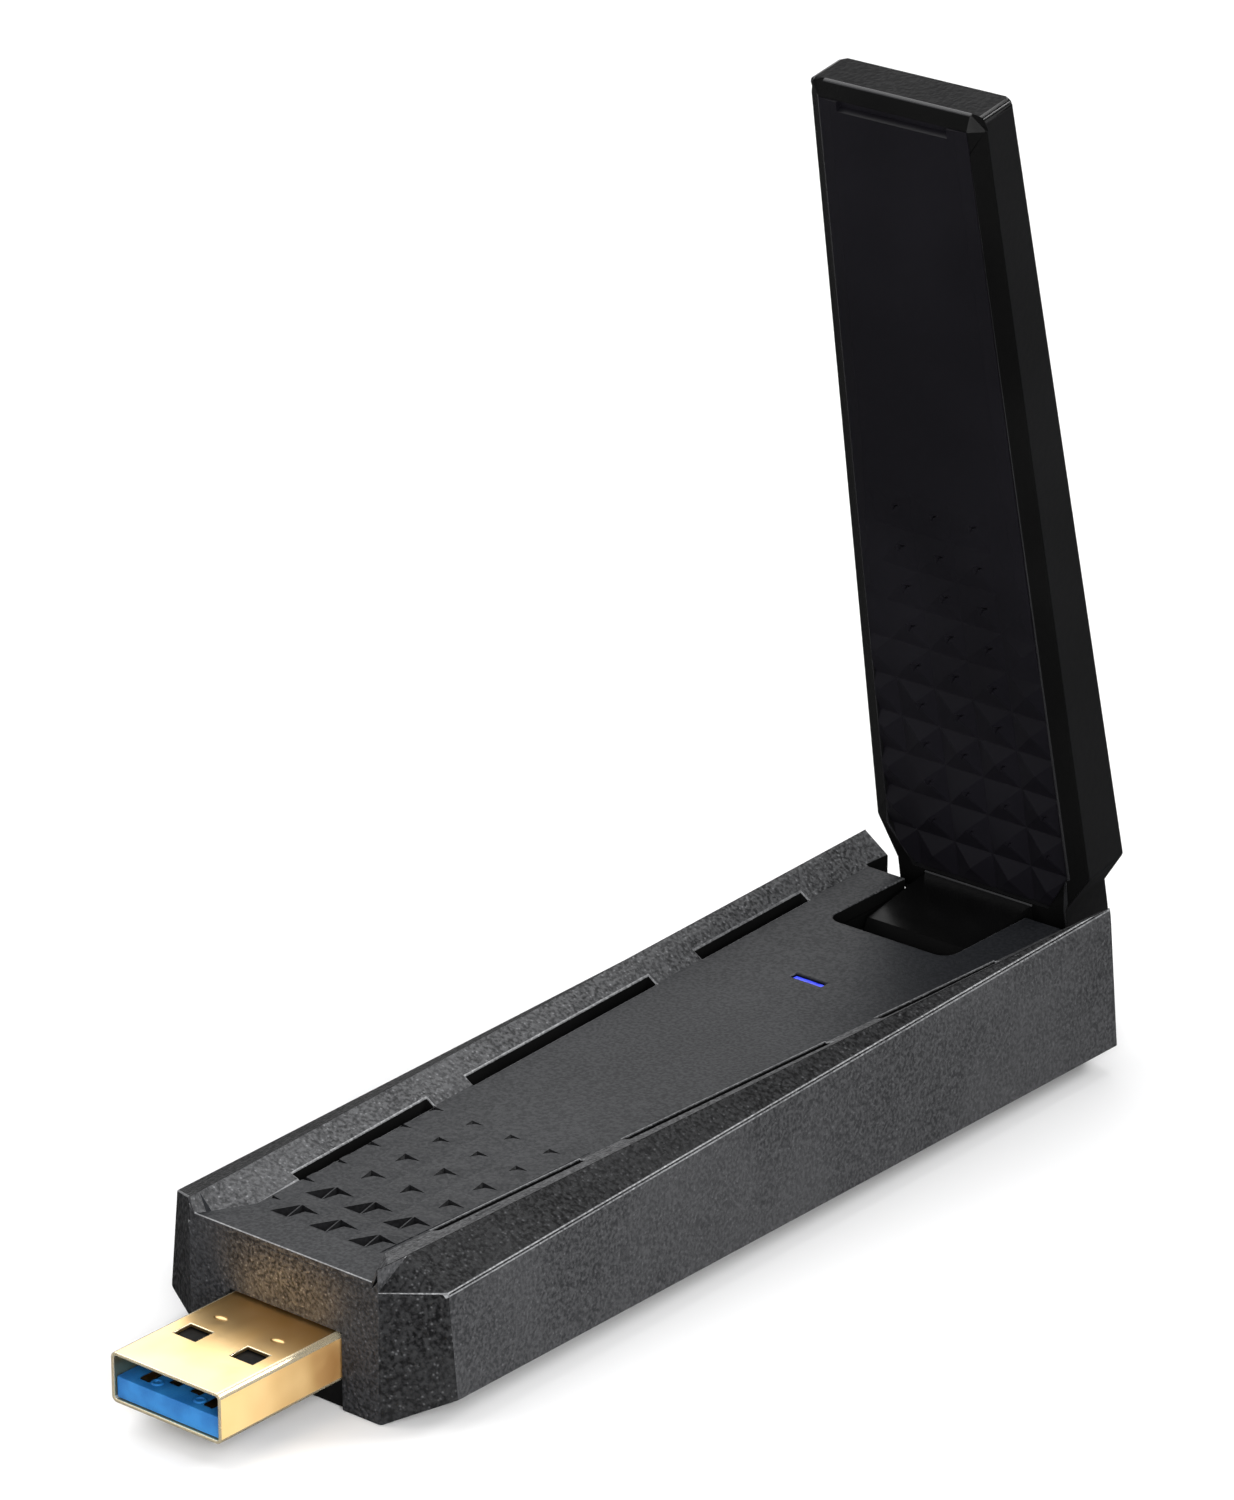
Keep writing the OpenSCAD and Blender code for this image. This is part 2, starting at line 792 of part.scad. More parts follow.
module foot_screws() {
    color(steel)
        on_antenna()
            for (side = [-1, 1])
                translate([side * foot_screw_x, -foot_screw_s, 0]) {
                    translate([0, 0, 8.5])
                        cylinder(r = 1.25, h = 0.7);
                    translate([0, 0, 9.1])
                        cylinder(r = screw_r, h = 3.5);
                }
}

module antenna_board() {
    s0 = antenna_board_s[0];
    s1 = antenna_board_s[1];
    color([0.06, 0.26, 0.16])
        on_antenna()
            translate([0, 0, antenna_board_e])
                linear_extrude(antenna_board_t)
                    polygon([
                        [-antenna_board_half[0], -s0], [antenna_board_half[0], -s0],
                        [antenna_board_half[1], -s1], [-antenna_board_half[1], -s1]
                    ]);
}

// Printed radiators on the front of the antenna board, one pair for each band.
module antenna_elements() {
    color(copper)
        on_antenna()
            for (side = [-1, 1], s = [[25, 44], [48, 62], [64, 77]])
                translate([side * 3.6, 0, 0])
                    bar(2.2, -s[1], -s[0], antenna_board_e - 0.1, antenna_board_e);
}

// Lead inside the antenna: from the hinge axis through the foot to the board.
paddle_route = [
    [coax_split_x, 0, 0], [2.4, 0, 0.05], [1.3, 0, 0.6], [0.8, 0, 1.8], [0.8, 0, 4.5], [0.8, 0, 7.2],
    [0.8, -0.5, 8.4], [0.8, -1.7, 9], [0.8, -6, 9], [0.8, -14, 9], [1.6, -19, 9], [1.6, -23, 9]
];

module antenna_coax_left() {
    color([0.12, 0.12, 0.13])
        on_antenna()
            mirror([1, 0, 0])
                tube(paddle_route, coax_r);
}

module antenna_coax_right() {
    color([0.55, 0.55, 0.57])
        on_antenna()
            tube(paddle_route, coax_r);
}

lower_housing();
top_cover();
usb_shell();
usb_insulator();
usb_contacts_front();
usb_contacts_rear();
usb_collar();
main_board();
radio_chip();
thermal_pad();
shield_can();
crystal();
power_inductors();
filter_capacitors();
status_led();
light_pipe();
coax_sockets();
body_coax_left();
body_coax_right();
board_screws();
hinge_pins();
friction_washers();
antenna_back_cover();
antenna_front_plate();
antenna_foot();
foot_screws();
antenna_board();
antenna_elements();
antenna_coax_left();
antenna_coax_right();
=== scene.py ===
"""Looks of the USB wireless adapter with its folding antenna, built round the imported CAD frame.

Names that end in _MM are millimetres, in _M metres and in _DEG degrees; Blender gets metres.
"""

import json
import math

import bmesh
import bpy
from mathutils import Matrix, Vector


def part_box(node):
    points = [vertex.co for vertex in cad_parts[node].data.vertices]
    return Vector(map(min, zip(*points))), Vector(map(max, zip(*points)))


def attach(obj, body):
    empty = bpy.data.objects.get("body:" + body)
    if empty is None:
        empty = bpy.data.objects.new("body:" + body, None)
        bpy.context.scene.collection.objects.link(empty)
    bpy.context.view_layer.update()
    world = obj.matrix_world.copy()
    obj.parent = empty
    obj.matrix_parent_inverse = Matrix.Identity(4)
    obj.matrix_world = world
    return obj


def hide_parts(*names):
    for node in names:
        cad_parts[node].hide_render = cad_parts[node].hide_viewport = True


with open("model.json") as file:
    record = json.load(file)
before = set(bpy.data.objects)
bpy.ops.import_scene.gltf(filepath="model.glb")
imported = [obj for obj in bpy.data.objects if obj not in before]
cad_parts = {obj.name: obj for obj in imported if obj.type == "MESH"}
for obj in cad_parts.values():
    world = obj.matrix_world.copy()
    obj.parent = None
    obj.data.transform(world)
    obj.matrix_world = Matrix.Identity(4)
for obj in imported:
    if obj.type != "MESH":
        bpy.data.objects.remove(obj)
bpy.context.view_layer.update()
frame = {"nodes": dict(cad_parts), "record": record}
NODES = frame["nodes"]
MM = 0.001

# ---------------------------------------------------------------- places taken from the frame

housing_low, housing_high = (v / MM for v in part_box("lower_housing"))
plug_low, plug_high = (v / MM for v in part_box("usb_shell"))
FRONT_MM, REAR_MM = housing_low.y, housing_high.y
TIP_MM = plug_low.y
joint = frame["record"]["behaviour"]["joints"][0]
HINGE_MM = Vector(joint["pos_m"]) / MM
REST_ANGLE = math.radians(-joint["range_deg"][0])
COS_REST, SIN_REST = math.cos(REST_ANGLE), math.sin(REST_ANGLE)

# Pairs are values at the front and the rear end of the housing
PANEL_Z_MM = (12.7, 13.45)
PANEL_HALF_MM = (6.8, 11.05)
RIDGE_HALF_MM = (10.35, 13.8)


def along(y, pair):
    """Straight-line value between the housing's front and rear ends."""
    return pair[0] + (pair[1] - pair[0]) * (y - FRONT_MM) / (REAR_MM - FRONT_MM)


def on_antenna(x, reach, depth):
    """A point in metres: x across the antenna, reach towards its tip and depth towards its back."""
    y = HINGE_MM.y - reach * COS_REST + depth * SIN_REST
    z = HINGE_MM.z + reach * SIN_REST + depth * COS_REST
    return Vector((x, y, z)) * MM


def turned(direction):
    """The same direction as (across, towards the tip, towards the back) of the antenna."""
    towards_tip = -direction.y * COS_REST + direction.z * SIN_REST
    towards_back = direction.y * SIN_REST + direction.z * COS_REST
    return direction.x, towards_tip, towards_back


def local(point):
    """(across, towards the tip, towards the back) of a point in millimetres, measured from the hinge."""
    return turned(point - HINGE_MM)


# ---------------------------------------------------------------- finishes


class Finish:
    """A material with short calls for the nodes that it uses. Lengths of texture are in millimetres."""

    def __init__(self, name, roughness=0.5, metallic=0.0, specular=0.5):
        self.material = bpy.data.materials.new(name)
        self.material.use_nodes = True
        self.tree = self.material.node_tree
        self.shader = self.tree.nodes["Principled BSDF"]
        self.shader.inputs["Roughness"].default_value = roughness
        self.shader.inputs["Metallic"].default_value = metallic
        self.shader.inputs["Specular IOR Level"].default_value = specular
        self.place = self.tree.nodes.new("ShaderNodeTexCoord").outputs["Object"]
        self.height = None

    def link(self, source, target):
        self.tree.links.new(source, target)

    def stretched(self, stretch):
        if stretch == (1, 1, 1):
            return self.place
        mapping = self.tree.nodes.new("ShaderNodeMapping")
        mapping.inputs["Scale"].default_value = stretch
        self.link(self.place, mapping.inputs["Vector"])
        return mapping.outputs["Vector"]

    def noise(self, size_mm, detail=2.0, stretch=(1, 1, 1)):
        node = self.tree.nodes.new("ShaderNodeTexNoise")
        node.inputs["Scale"].default_value = 1 / (size_mm * MM)
        node.inputs["Detail"].default_value = detail
        self.link(self.stretched(stretch), node.inputs["Vector"])
        return node.outputs["Fac"]

    def cells(self, size_mm, stretch=(1, 1, 1)):
        node = self.tree.nodes.new("ShaderNodeTexVoronoi")
        node.inputs["Scale"].default_value = 1 / (size_mm * MM)
        self.link(self.stretched(stretch), node.inputs["Vector"])
        return node.outputs["Distance"]

    def spread(self, source, low, high, to_low=0.0, to_high=1.0):
        """Maps low..high of source to to_low..to_high, and holds it there outside."""
        node = self.tree.nodes.new("ShaderNodeMapRange")
        for key, value in zip(("From Min", "From Max", "To Min", "To Max"), (low, high, to_low, to_high)):
            node.inputs[key].default_value = value
        self.link(source, node.inputs["Value"])
        return node.outputs["Result"]

    def calculated(self, operation, a, b):
        """The operation on a and b; each is a number or a socket."""
        node = self.tree.nodes.new("ShaderNodeMath")
        node.operation = operation
        for socket, value in zip(node.inputs, (a, b)):
            if isinstance(value, (int, float)):
                socket.default_value = value
            else:
                self.link(value, socket)
        return node.outputs[0]

    def times(self, a, b):
        return self.calculated("MULTIPLY", a, b)

    def plus(self, a, b):
        return self.calculated("ADD", a, b)

    def mixed(self, factor, a, b):
        """Colour a where factor is 0 and b where it is 1; each is a colour or a socket."""
        node = self.tree.nodes.new("ShaderNodeMix")
        node.data_type = "RGBA"
        self.link(factor, node.inputs[0])
        for socket, value in zip((node.inputs[6], node.inputs[7]), (a, b)):
            if isinstance(value, tuple):
                socket.default_value = (*value, 1)
            else:
                self.link(value, socket)
        return node.outputs[2]

    def colour(self, source):
        self.link(source, self.shader.inputs["Base Color"])

    def roughness(self, source):
        self.link(source, self.shader.inputs["Roughness"])

    def bump(self, source, depth_mm):
        """Adds relief of that depth; calls add up."""
        node = self.tree.nodes.new("ShaderNodeBump")
        node.inputs["Strength"].default_value = 1
        node.inputs["Distance"].default_value = depth_mm * MM
        self.link(source, node.inputs["Height"])
        if self.height:
            self.link(self.height, node.inputs["Normal"])
        self.height = node.outputs["Normal"]
        self.link(self.height, self.shader.inputs["Normal"])


def blasted_plastic(name, dark, light, grain_mm, depth_mm, glint_gain, rough=(0.42, 0.62), specular=0.4):
    """Moulded plastic with a sand-blast grain: dark and light grains, and painted glints, a few grains
    painted bright as if they caught the light.
    """
    look = Finish(name, specular=specular)
    grain = look.spread(look.noise(grain_mm, 3), 0.37, 0.63)
    patches = look.spread(look.noise(9, 2), 0.35, 0.65)
    base = look.mixed(grain, dark, light)
    worn = tuple(min(1, c * 1.22) for c in light)
    base = look.mixed(look.times(patches, 0.35), base, worn)
    # Painted glints: a few grains painted brighter, standing for grains that catch the light.
    painted_glints = look.spread(look.cells(grain_mm * 1.25), 0.1, 0.3, 1.0, 0.0)
    bright = tuple(min(1, c * glint_gain) for c in light)
    look.colour(look.mixed(look.times(painted_glints, grain), base, bright))
    polish = look.times(grain, look.spread(patches, 0, 1, 0.85, 1.1))
    look.roughness(look.spread(polish, 0, 1, rough[1], rough[0]))
    look.bump(grain, depth_mm)
    look.bump(look.noise(grain_mm * 3.2, 1), depth_mm * 1.2)
    return look.material


def satin_black(name, dark, light, rough, grain_mm, depth_mm, specular):
    """Smooth moulded plastic: a fine grain and rubbed patches."""
    look = Finish(name, specular=specular)
    grain = look.spread(look.noise(grain_mm, 1), 0.35, 0.65)
    patches = look.spread(look.noise(14, 1), 0.35, 0.65)
    look.colour(look.mixed(patches, dark, light))
    mixed = look.plus(look.times(patches, 0.6), look.times(grain, 0.4))
    look.roughness(look.spread(mixed, 0, 1, *rough))
    look.bump(grain, depth_mm)
    return look.material


def plated_metal(name, light, dark, rough, grain_mm=0.5, metallic=1.0, painted_shade=None):
    """Plated or rolled sheet metal: drawing lines along the part, stains, and a soft grain.

    With painted_shade, a colour, it is painted darker more and more from the plug's tip to the housing, a
    painted reflection of the dark housing.
    """
    look = Finish(name, metallic=metallic)
    lines = look.spread(look.noise(0.6, 1, stretch=(1, 0.05, 1)), 0.3, 0.7)
    stains = look.spread(look.noise(3.5, 1), 0.3, 0.7)
    grain = look.spread(look.noise(grain_mm, 1), 0.3, 0.7)
    base = look.mixed(look.times(stains, 0.55), light, dark)
    if painted_shade:
        # Painted reflection of the dark housing: the colour turns to painted_shade from the tip towards the
        # housing.
        split = look.tree.nodes.new("ShaderNodeSeparateXYZ")
        look.link(look.place, split.inputs[0])
        towards_housing = look.spread(split.outputs["Y"], (TIP_MM + 2) * MM, (FRONT_MM + 1) * MM)
        base = look.mixed(look.times(towards_housing, look.spread(stains, 0, 1, 0.55, 0.95)), base, painted_shade)
    look.colour(base)
    mixed = look.plus(look.times(stains, 0.6), look.times(lines, 0.4))
    look.roughness(look.spread(mixed, 0, 1, *rough))
    look.bump(grain, 0.003)
    return look.material


def solid_finish(name, dark, light, rough, grain_mm, depth_mm):
    """Plain moulded, sintered or rolled stuff, with uneven colour and a surface grain."""
    look = Finish(name)
    grain = look.spread(look.noise(grain_mm, 3), 0.33, 0.67)
    spots = look.spread(look.noise(2.0, 3), 0.35, 0.65)
    look.colour(look.mixed(spots, dark, light))
    look.roughness(look.spread(grain, 0, 1, *rough))
    look.bump(grain, depth_mm)
    return look.material


def board_finish():
    """Green solder mask over copper tracks, with weave showing through."""
    look = Finish("circuit_board", specular=0.5)
    tracks = look.spread(look.cells(1.7, stretch=(1, 0.35, 1)), 0.32, 0.36)
    weave = look.noise(0.35, 1, stretch=(1, 1, 0.2))
    base = look.mixed(tracks, (0.012, 0.075, 0.035), (0.02, 0.13, 0.06))
    look.colour(look.mixed(look.spread(weave, 0.4, 0.6, 0, 0.3), base, (0.01, 0.05, 0.03)))
    look.roughness(look.spread(weave, 0.3, 0.7, 0.28, 0.42))
    look.bump(tracks, 0.03)
    look.bump(weave, 0.008)
    return look.material


def cable_finish(name, dark, light):
    """Extruded insulation: fine rings round the lead and a dusty sheen."""
    look = Finish(name, specular=0.4)
    rings = look.noise(0.5, 2, stretch=(0.3, 1, 0.3))
    look.colour(look.mixed(look.spread(rings, 0.35, 0.65), dark, light))
    look.roughness(look.spread(rings, 0.3, 0.7, 0.38, 0.55))
    look.bump(rings, 0.01)
    return look.material


def lens_finish():
    """Frosted light guide, lit blue from behind and slightly cloudy."""
    look = Finish("blue_lens", roughness=0.35, specular=0.5)
    cloud = look.spread(look.noise(0.6, 2), 0.35, 0.65)
    tint = look.mixed(cloud, (0.010, 0.020, 0.42), (0.022, 0.045, 0.72))
    look.colour(tint)
    look.link(tint, look.shader.inputs["Emission Color"])
    look.shader.inputs["Emission Strength"].default_value = 0.9
    look.roughness(look.spread(cloud, 0, 1, 0.25, 0.4))
    look.bump(cloud, 0.01)
    return look.material


def grey(level):
    """A neutral colour of that brightness."""
    return (level, level, level)


# The housing's coarse plastic in lit and shaded copies, one for each way its faces look: painted light on
# the sides and slopes, painted shade on the bevels and the front.
SIDE_PAINTED_LIGHT = blasted_plastic(
    "housing_side_painted_light", (0.018, 0.0185, 0.020), (0.052, 0.0525, 0.055),
    grain_mm=0.32, depth_mm=0.024, glint_gain=1.6,
)
BEVEL_PAINTED_SHADE = blasted_plastic(
    "housing_bevel_painted_shade", (0.002, 0.002, 0.0023), (0.022, 0.0223, 0.0232),
    grain_mm=0.38, depth_mm=0.05, glint_gain=3.2, specular=0.14,
)
SLOPE_PAINTED_LIGHT = blasted_plastic(
    "housing_slope_painted_light", (0.009, 0.0093, 0.010), (0.078, 0.079, 0.082),
    grain_mm=0.36, depth_mm=0.05, glint_gain=2.4, specular=0.3,
)
FRONT_PAINTED_SHADE = blasted_plastic(
    "housing_front_painted_shade", (0.006, 0.0062, 0.007), (0.031, 0.0315, 0.034),
    grain_mm=0.32, depth_mm=0.035, glint_gain=2.4, specular=0.3,
)
PANEL = blasted_plastic(
    "panel", (0.0066, 0.0072, 0.0086), (0.0146, 0.0155, 0.0176),
    grain_mm=0.32, depth_mm=0.008, glint_gain=1.3, rough=(0.4, 0.52), specular=0.17,
)
# Darker plastic on the walls of the pits: painted shade.
PIT_PAINTED_SHADE = blasted_plastic(
    "pit", (0.0022, 0.0022, 0.0025), (0.0060, 0.0061, 0.0068),
    grain_mm=0.3, depth_mm=0.006, glint_gain=1.3, rough=(0.4, 0.55), specular=0.1,
)
# Lighter plastic on upper rounded edges: a painted highlight.
EDGE_PAINTED_HIGHLIGHT = blasted_plastic(
    "edge_painted_highlight", (0.07, 0.071, 0.074), (0.20, 0.203, 0.208),
    grain_mm=0.3, depth_mm=0.01, glint_gain=1.6, rough=(0.3, 0.4), specular=0.6,
)
# Black of the plug's collar, also used as painted shade on the walls of slots, openings and the notch, and
# on the sheets behind the plug's windows.
BLACK_AND_PAINTED_SHADE = satin_black(
    "black_and_painted_shade", grey(0.003), grey(0.005), (0.5, 0.65), grain_mm=0.5, depth_mm=0.006, specular=0.12
)
ANTENNA = satin_black(
    "antenna_satin", (0.0050, 0.0050, 0.0053), (0.0062, 0.0062, 0.0066), (0.32, 0.42),
    grain_mm=0.6, depth_mm=0.004, specular=0.2,
)
# Lighter, glossier black on the antenna's edge strips and along the foot's fillet: a painted highlight line.
EDGE_LINE_PAINTED_HIGHLIGHT = satin_black(
    "antenna_edge_painted_highlight", (0.012, 0.012, 0.013), (0.02, 0.02, 0.021), (0.2, 0.3),
    grain_mm=0.8, depth_mm=0.001, specular=0.5,
)
BRUSHED = satin_black(
    "antenna_brushed", (0.004, 0.004, 0.0043), (0.006, 0.006, 0.0064), (0.42, 0.6),
    grain_mm=0.45, depth_mm=0.03, specular=0.05,
)
PLATE = satin_black(
    "antenna_plate", (0.0044, 0.0041, 0.0054), (0.0060, 0.0056, 0.0074), (0.32, 0.38),
    grain_mm=1.2, depth_mm=0.0008, specular=0.2,
)
GLOSS = satin_black(
    "gloss_black", grey(0.0025), grey(0.004), (0.2, 0.28), grain_mm=0.8, depth_mm=0.001, specular=0.06
)
# Glossier black on the tip's corners, also lighter in colour as a painted highlight.
SHINE_AND_PAINTED_HIGHLIGHT = satin_black(
    "polished_edge_painted_highlight", grey(0.01), grey(0.014), (0.16, 0.24), grain_mm=0.8, depth_mm=0.001, specular=0.5
)
GOLD = plated_metal(
    "gold_plate", (1.0, 0.74, 0.38), (0.98, 0.67, 0.30), (0.27, 0.35),
    metallic=0.97, painted_shade=(0.74, 0.42, 0.13),
)
# Copy of the gold for the plug's sides, made to catch more diffuse light, with stronger painted shade
# towards the housing.
GOLD_SIDE_PAINTED_LIGHT = plated_metal(
    "gold_side_painted_light", (1.0, 0.70, 0.32), (0.96, 0.62, 0.25), (0.3, 0.4),
    metallic=0.36, painted_shade=(0.30, 0.13, 0.035),
)
# Lighter gold on the rims and corners: a painted highlight.
GOLD_PAINTED_HIGHLIGHT = plated_metal("gold_rim_painted_highlight", (1.0, 0.88, 0.62), (1.0, 0.82, 0.52), (0.2, 0.28), metallic=0.8)
BLUE = solid_finish("blue_insulator", (0.012, 0.11, 0.32), (0.022, 0.17, 0.43), (0.35, 0.5), 0.15, 0.008)
BRONZE = plated_metal("contact_metal", (0.62, 0.36, 0.17), (0.30, 0.14, 0.06), (0.3, 0.5), 0.12)
COPPER = plated_metal("copper", (0.90, 0.52, 0.36), (0.6, 0.28, 0.16), (0.3, 0.48), 0.2)
STEEL = plated_metal("steel", (0.72, 0.73, 0.75), (0.5, 0.5, 0.51), (0.22, 0.4), 0.2)
TIN = plated_metal("tin_plate", (0.78, 0.78, 0.77), (0.6, 0.6, 0.58), (0.3, 0.5), 0.4)
BOARD = board_finish()
CHIP = solid_finish("chip_body", (0.012, 0.012, 0.013), (0.02, 0.02, 0.022), (0.45, 0.6), 0.08, 0.006)
PAD = solid_finish("thermal_pad", (0.30, 0.36, 0.44), (0.38, 0.43, 0.52), (0.7, 0.85), 0.15, 0.02)
CERAMIC = solid_finish("ceramic_chip", (0.40, 0.26, 0.14), (0.52, 0.36, 0.2), (0.4, 0.55), 0.1, 0.006)
LED_BODY = solid_finish("led_body", (0.62, 0.64, 0.6), (0.75, 0.77, 0.72), (0.3, 0.4), 0.2, 0.004)
LENS = lens_finish()
LEAD_BLACK = cable_finish("black_cable", (0.01, 0.01, 0.011), (0.02, 0.02, 0.022))
LEAD_GREY = cable_finish("grey_cable", (0.26, 0.26, 0.27), (0.34, 0.34, 0.35))
WASHER = solid_finish("washer_plastic", (0.02, 0.02, 0.021), (0.035, 0.035, 0.036), (0.4, 0.55), 0.2, 0.005)

# CAD nodes whose shape is shown as it is: name -> finish
PLAIN_NODES = {
    "usb_contacts_front": BRONZE,
    "usb_contacts_rear": BRONZE,
    "main_board": BOARD,
    "radio_chip": CHIP,
    "thermal_pad": PAD,
    "shield_can": TIN,
    "crystal": STEEL,
    "power_inductors": CHIP,
    "filter_capacitors": CERAMIC,
    "status_led": LED_BODY,
    "coax_sockets": GOLD,
    "body_coax_left": LEAD_BLACK,
    "body_coax_right": LEAD_GREY,
    "board_screws": STEEL,
    "hinge_pins": STEEL,
    "friction_washers": WASHER,
    "foot_screws": STEEL,
    "antenna_board": BOARD,
    "antenna_elements": COPPER,
    "antenna_coax_left": LEAD_BLACK,
    "antenna_coax_right": LEAD_GREY,
}


def dress_plain_nodes():
    """Puts its finish on each node that is shown as it is."""
    for name, finish in PLAIN_NODES.items():
        data = NODES[name].data
        for i in range(len(data.materials)):
            data.materials[i] = finish
        if not data.materials:
            data.materials.append(finish)


dress_plain_nodes()

# ---------------------------------------------------------------- mesh tools

CAD_MERGE_MM = 0.002
FLAT_DEG = 0.4
STRIP_MM = 0.13


def cleaned(node):
    """The shape of a CAD node as a bmesh, with its flat faces whole again."""
    bm = bmesh.new()
    bm.from_mesh(NODES[node].data)
    bmesh.ops.remove_doubles(bm, verts=bm.verts, dist=CAD_MERGE_MM * MM)
    bmesh.ops.dissolve_limit(
        bm, angle_limit=math.radians(FLAT_DEG), verts=bm.verts, edges=bm.edges, delimit=set()
    )
    bmesh.ops.recalc_face_normals(bm, faces=bm.faces)
    bm.normal_update()
    for face in bm.faces:
        face.material_index = 0
    return bm


def middle(edge):
    """Middle of an edge in millimetres."""
    return (edge.verts[0].co + edge.verts[1].co) / 2 / MM


def round_edges(bm, width_mm, segments, wanted, least_turn=22):
    """Rounds outer edges turning by over least_turn degrees, where wanted(middle, edge) holds."""
    picked = [
        edge
        for edge in bm.edges
        if len(edge.link_faces) == 2
        and edge.calc_face_angle_signed(0) > math.radians(least_turn)
        and wanted(middle(edge), edge)
    ]
    if picked:
        bmesh.ops.bevel(
            bm, geom=picked, offset=width_mm * MM, segments=segments, profile=0.5,
            affect="EDGES", clamp_overlap=False, loop_slide=True,
        )
        bm.normal_update()


def is_strip(face):
    """Whether a face is one of the narrow ones along a rounded edge."""
    around = sum(edge.calc_length() for edge in face.edges)
    return 2 * face.calc_area() / around < STRIP_MM * MM


def paint(bm, finishes, finish_of):
    """Gives each face the one of the finishes that finish_of(face, middle) returns."""
    for face in bm.faces:
        face.material_index = finishes.index(finish_of(face, face.calc_center_median() / MM))


def from_faces(faces_of_points, merge_mm):
    """A bmesh from faces given as lists of points in metres, joined where they meet."""
    bm = bmesh.new()
    for points in faces_of_points:
        bm.faces.new([bm.verts.new(p) for p in points])
    bmesh.ops.remove_doubles(bm, verts=bm.verts, dist=merge_mm * MM)
    return bm


def solid(faces_of_points):
    """A closed bmesh from such faces, with its faces turned outwards."""
    bm = from_faces(faces_of_points, 0.001)
    bmesh.ops.recalc_face_normals(bm, faces=bm.faces)
    return bm


def cell_corner(first, size, i, j):
    """Corner of a cell in a grid that starts at first and has cells of that size."""
    return first[0] + i * size[0], first[1] + j * size[1]


def cell_faces(flat, relief, peak, at_edge):
    """Faces of one cell of a relief: slopes up to its peak, its flat back, and walls at the grid's edge."""
    faces = [[relief[k], relief[(k + 1) % 4], peak] for k in range(4)]
    faces.append(flat[::-1])
    faces += [
        [flat[k], flat[(k + 1) % 4], relief[(k + 1) % 4], relief[k]] for k in range(4) if at_edge[k]
    ]
    return faces


def pit_faces(opening, above, deepest):
    """Faces of a pit's cutter: straight sides up from its opening, and slopes down to its deepest point."""
    faces = [above]
    for a in range(len(opening)):
        b = (a + 1) % len(opening)
        faces += [[opening[a], above[a], above[b], opening[b]], [opening[b], deepest, opening[a]]]
    return faces


def to_mesh(bm, name, *finishes):
    """The bmesh as a mesh with those finishes; the bmesh is used up."""
    mesh = bpy.data.meshes.new(name)
    bm.to_mesh(mesh)
    bm.free()
    for finish in finishes:
        mesh.materials.append(finish)
    return mesh


def combine(mesh, tool, operation):
    """The mesh with the tool joined to it or cut from it; the tool's faces keep their own material."""
    ends = [bpy.data.objects.new(f"tool_{i}", m) for i, m in enumerate((mesh, tool))]
    for end in ends:
        bpy.context.scene.collection.objects.link(end)
    modifier = ends[0].modifiers.new("tool", "BOOLEAN")
    modifier.operation = operation
    modifier.solver = "EXACT"
    modifier.material_mode = "TRANSFER"
    modifier.object = ends[1]
    bpy.context.view_layer.update()
    depsgraph = bpy.context.evaluated_depsgraph_get()
    result = bpy.data.meshes.new_from_object(ends[0].evaluated_get(depsgraph))
    for end in ends:
        bpy.data.objects.remove(end)
    return result


def piece(name, mesh, body, slot, *nodes, smooth=32):
    """Shows a mesh as a part of a body, standing for those CAD nodes."""
    mesh.shade_smooth()
    mesh.set_sharp_from_angle(angle=math.radians(smooth))
    obj = bpy.data.objects.new(name, mesh)
    bpy.context.scene.collection.objects.link(obj)
    normals = obj.modifiers.new("flat faces stay flat", "WEIGHTED_NORMAL")
    normals.keep_sharp = True
    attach(obj, body)
    if nodes:
        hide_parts(*nodes)


# ---------------------------------------------------------------- lower housing

SKIN_MM = 0.05
EDGE_MM = 0.22
SHORT_EDGE_MM = 0.6
RIDGE_BAND_MM = 0.3
RIDGE_LOW_MM = 11.5
FRONT_WALL_MM = 4.6
FRONT_HALF_MM = 10.2
SIDE_HALF_MM = 13.8
UNDERSIDE_MM = 0.1
UNDERSIDE_HALF_MM = 8
LOW_BEVEL_MM = 3.2
LOW_BEVEL_HALF_MM = 10.5
TOP_BEVEL_HALF_MM = 10
NOTCH_LENGTH_MM = 14
NOTCH_HALF_MM = 11.2
COLLAR_HALF_MM = 6.5
HIGHLIGHT_LOW_MM = 10.5
TRAY_FINISHES = (SIDE_PAINTED_LIGHT, BEVEL_PAINTED_SHADE, FRONT_PAINTED_SHADE, BLACK_AND_PAINTED_SHADE, EDGE_PAINTED_HIGHLIGHT)


def on_ridge(point):
    """Near the seam between the lower housing and its cover, whose edges stay as they are."""
    return abs(abs(point.x) - along(point.y, RIDGE_HALF_MM)) < RIDGE_BAND_MM and point.z > RIDGE_LOW_MM


def outside(point):
    """On the housing's outer skin and not inside the tray or the hinge notch."""
    across = abs(point.x)
    in_wall = point.y < FRONT_MM + FRONT_WALL_MM
    on_front = point.y < FRONT_MM + 0.1 or across > FRONT_HALF_MM
    underside = point.z < UNDERSIDE_MM and across > UNDERSIDE_HALF_MM
    low_bevel = point.z < LOW_BEVEL_MM and across > LOW_BEVEL_HALF_MM
    return (in_wall and on_front) or across > SIDE_HALF_MM or underside or low_bevel


def in_notch(point):
    """On a wall of the hinge notch or inside the tray's rear end."""
    lengthwise = REAR_MM - NOTCH_LENGTH_MM < point.y < REAR_MM - SKIN_MM
    return lengthwise and abs(point.x) < NOTCH_HALF_MM and point.z > SKIN_MM


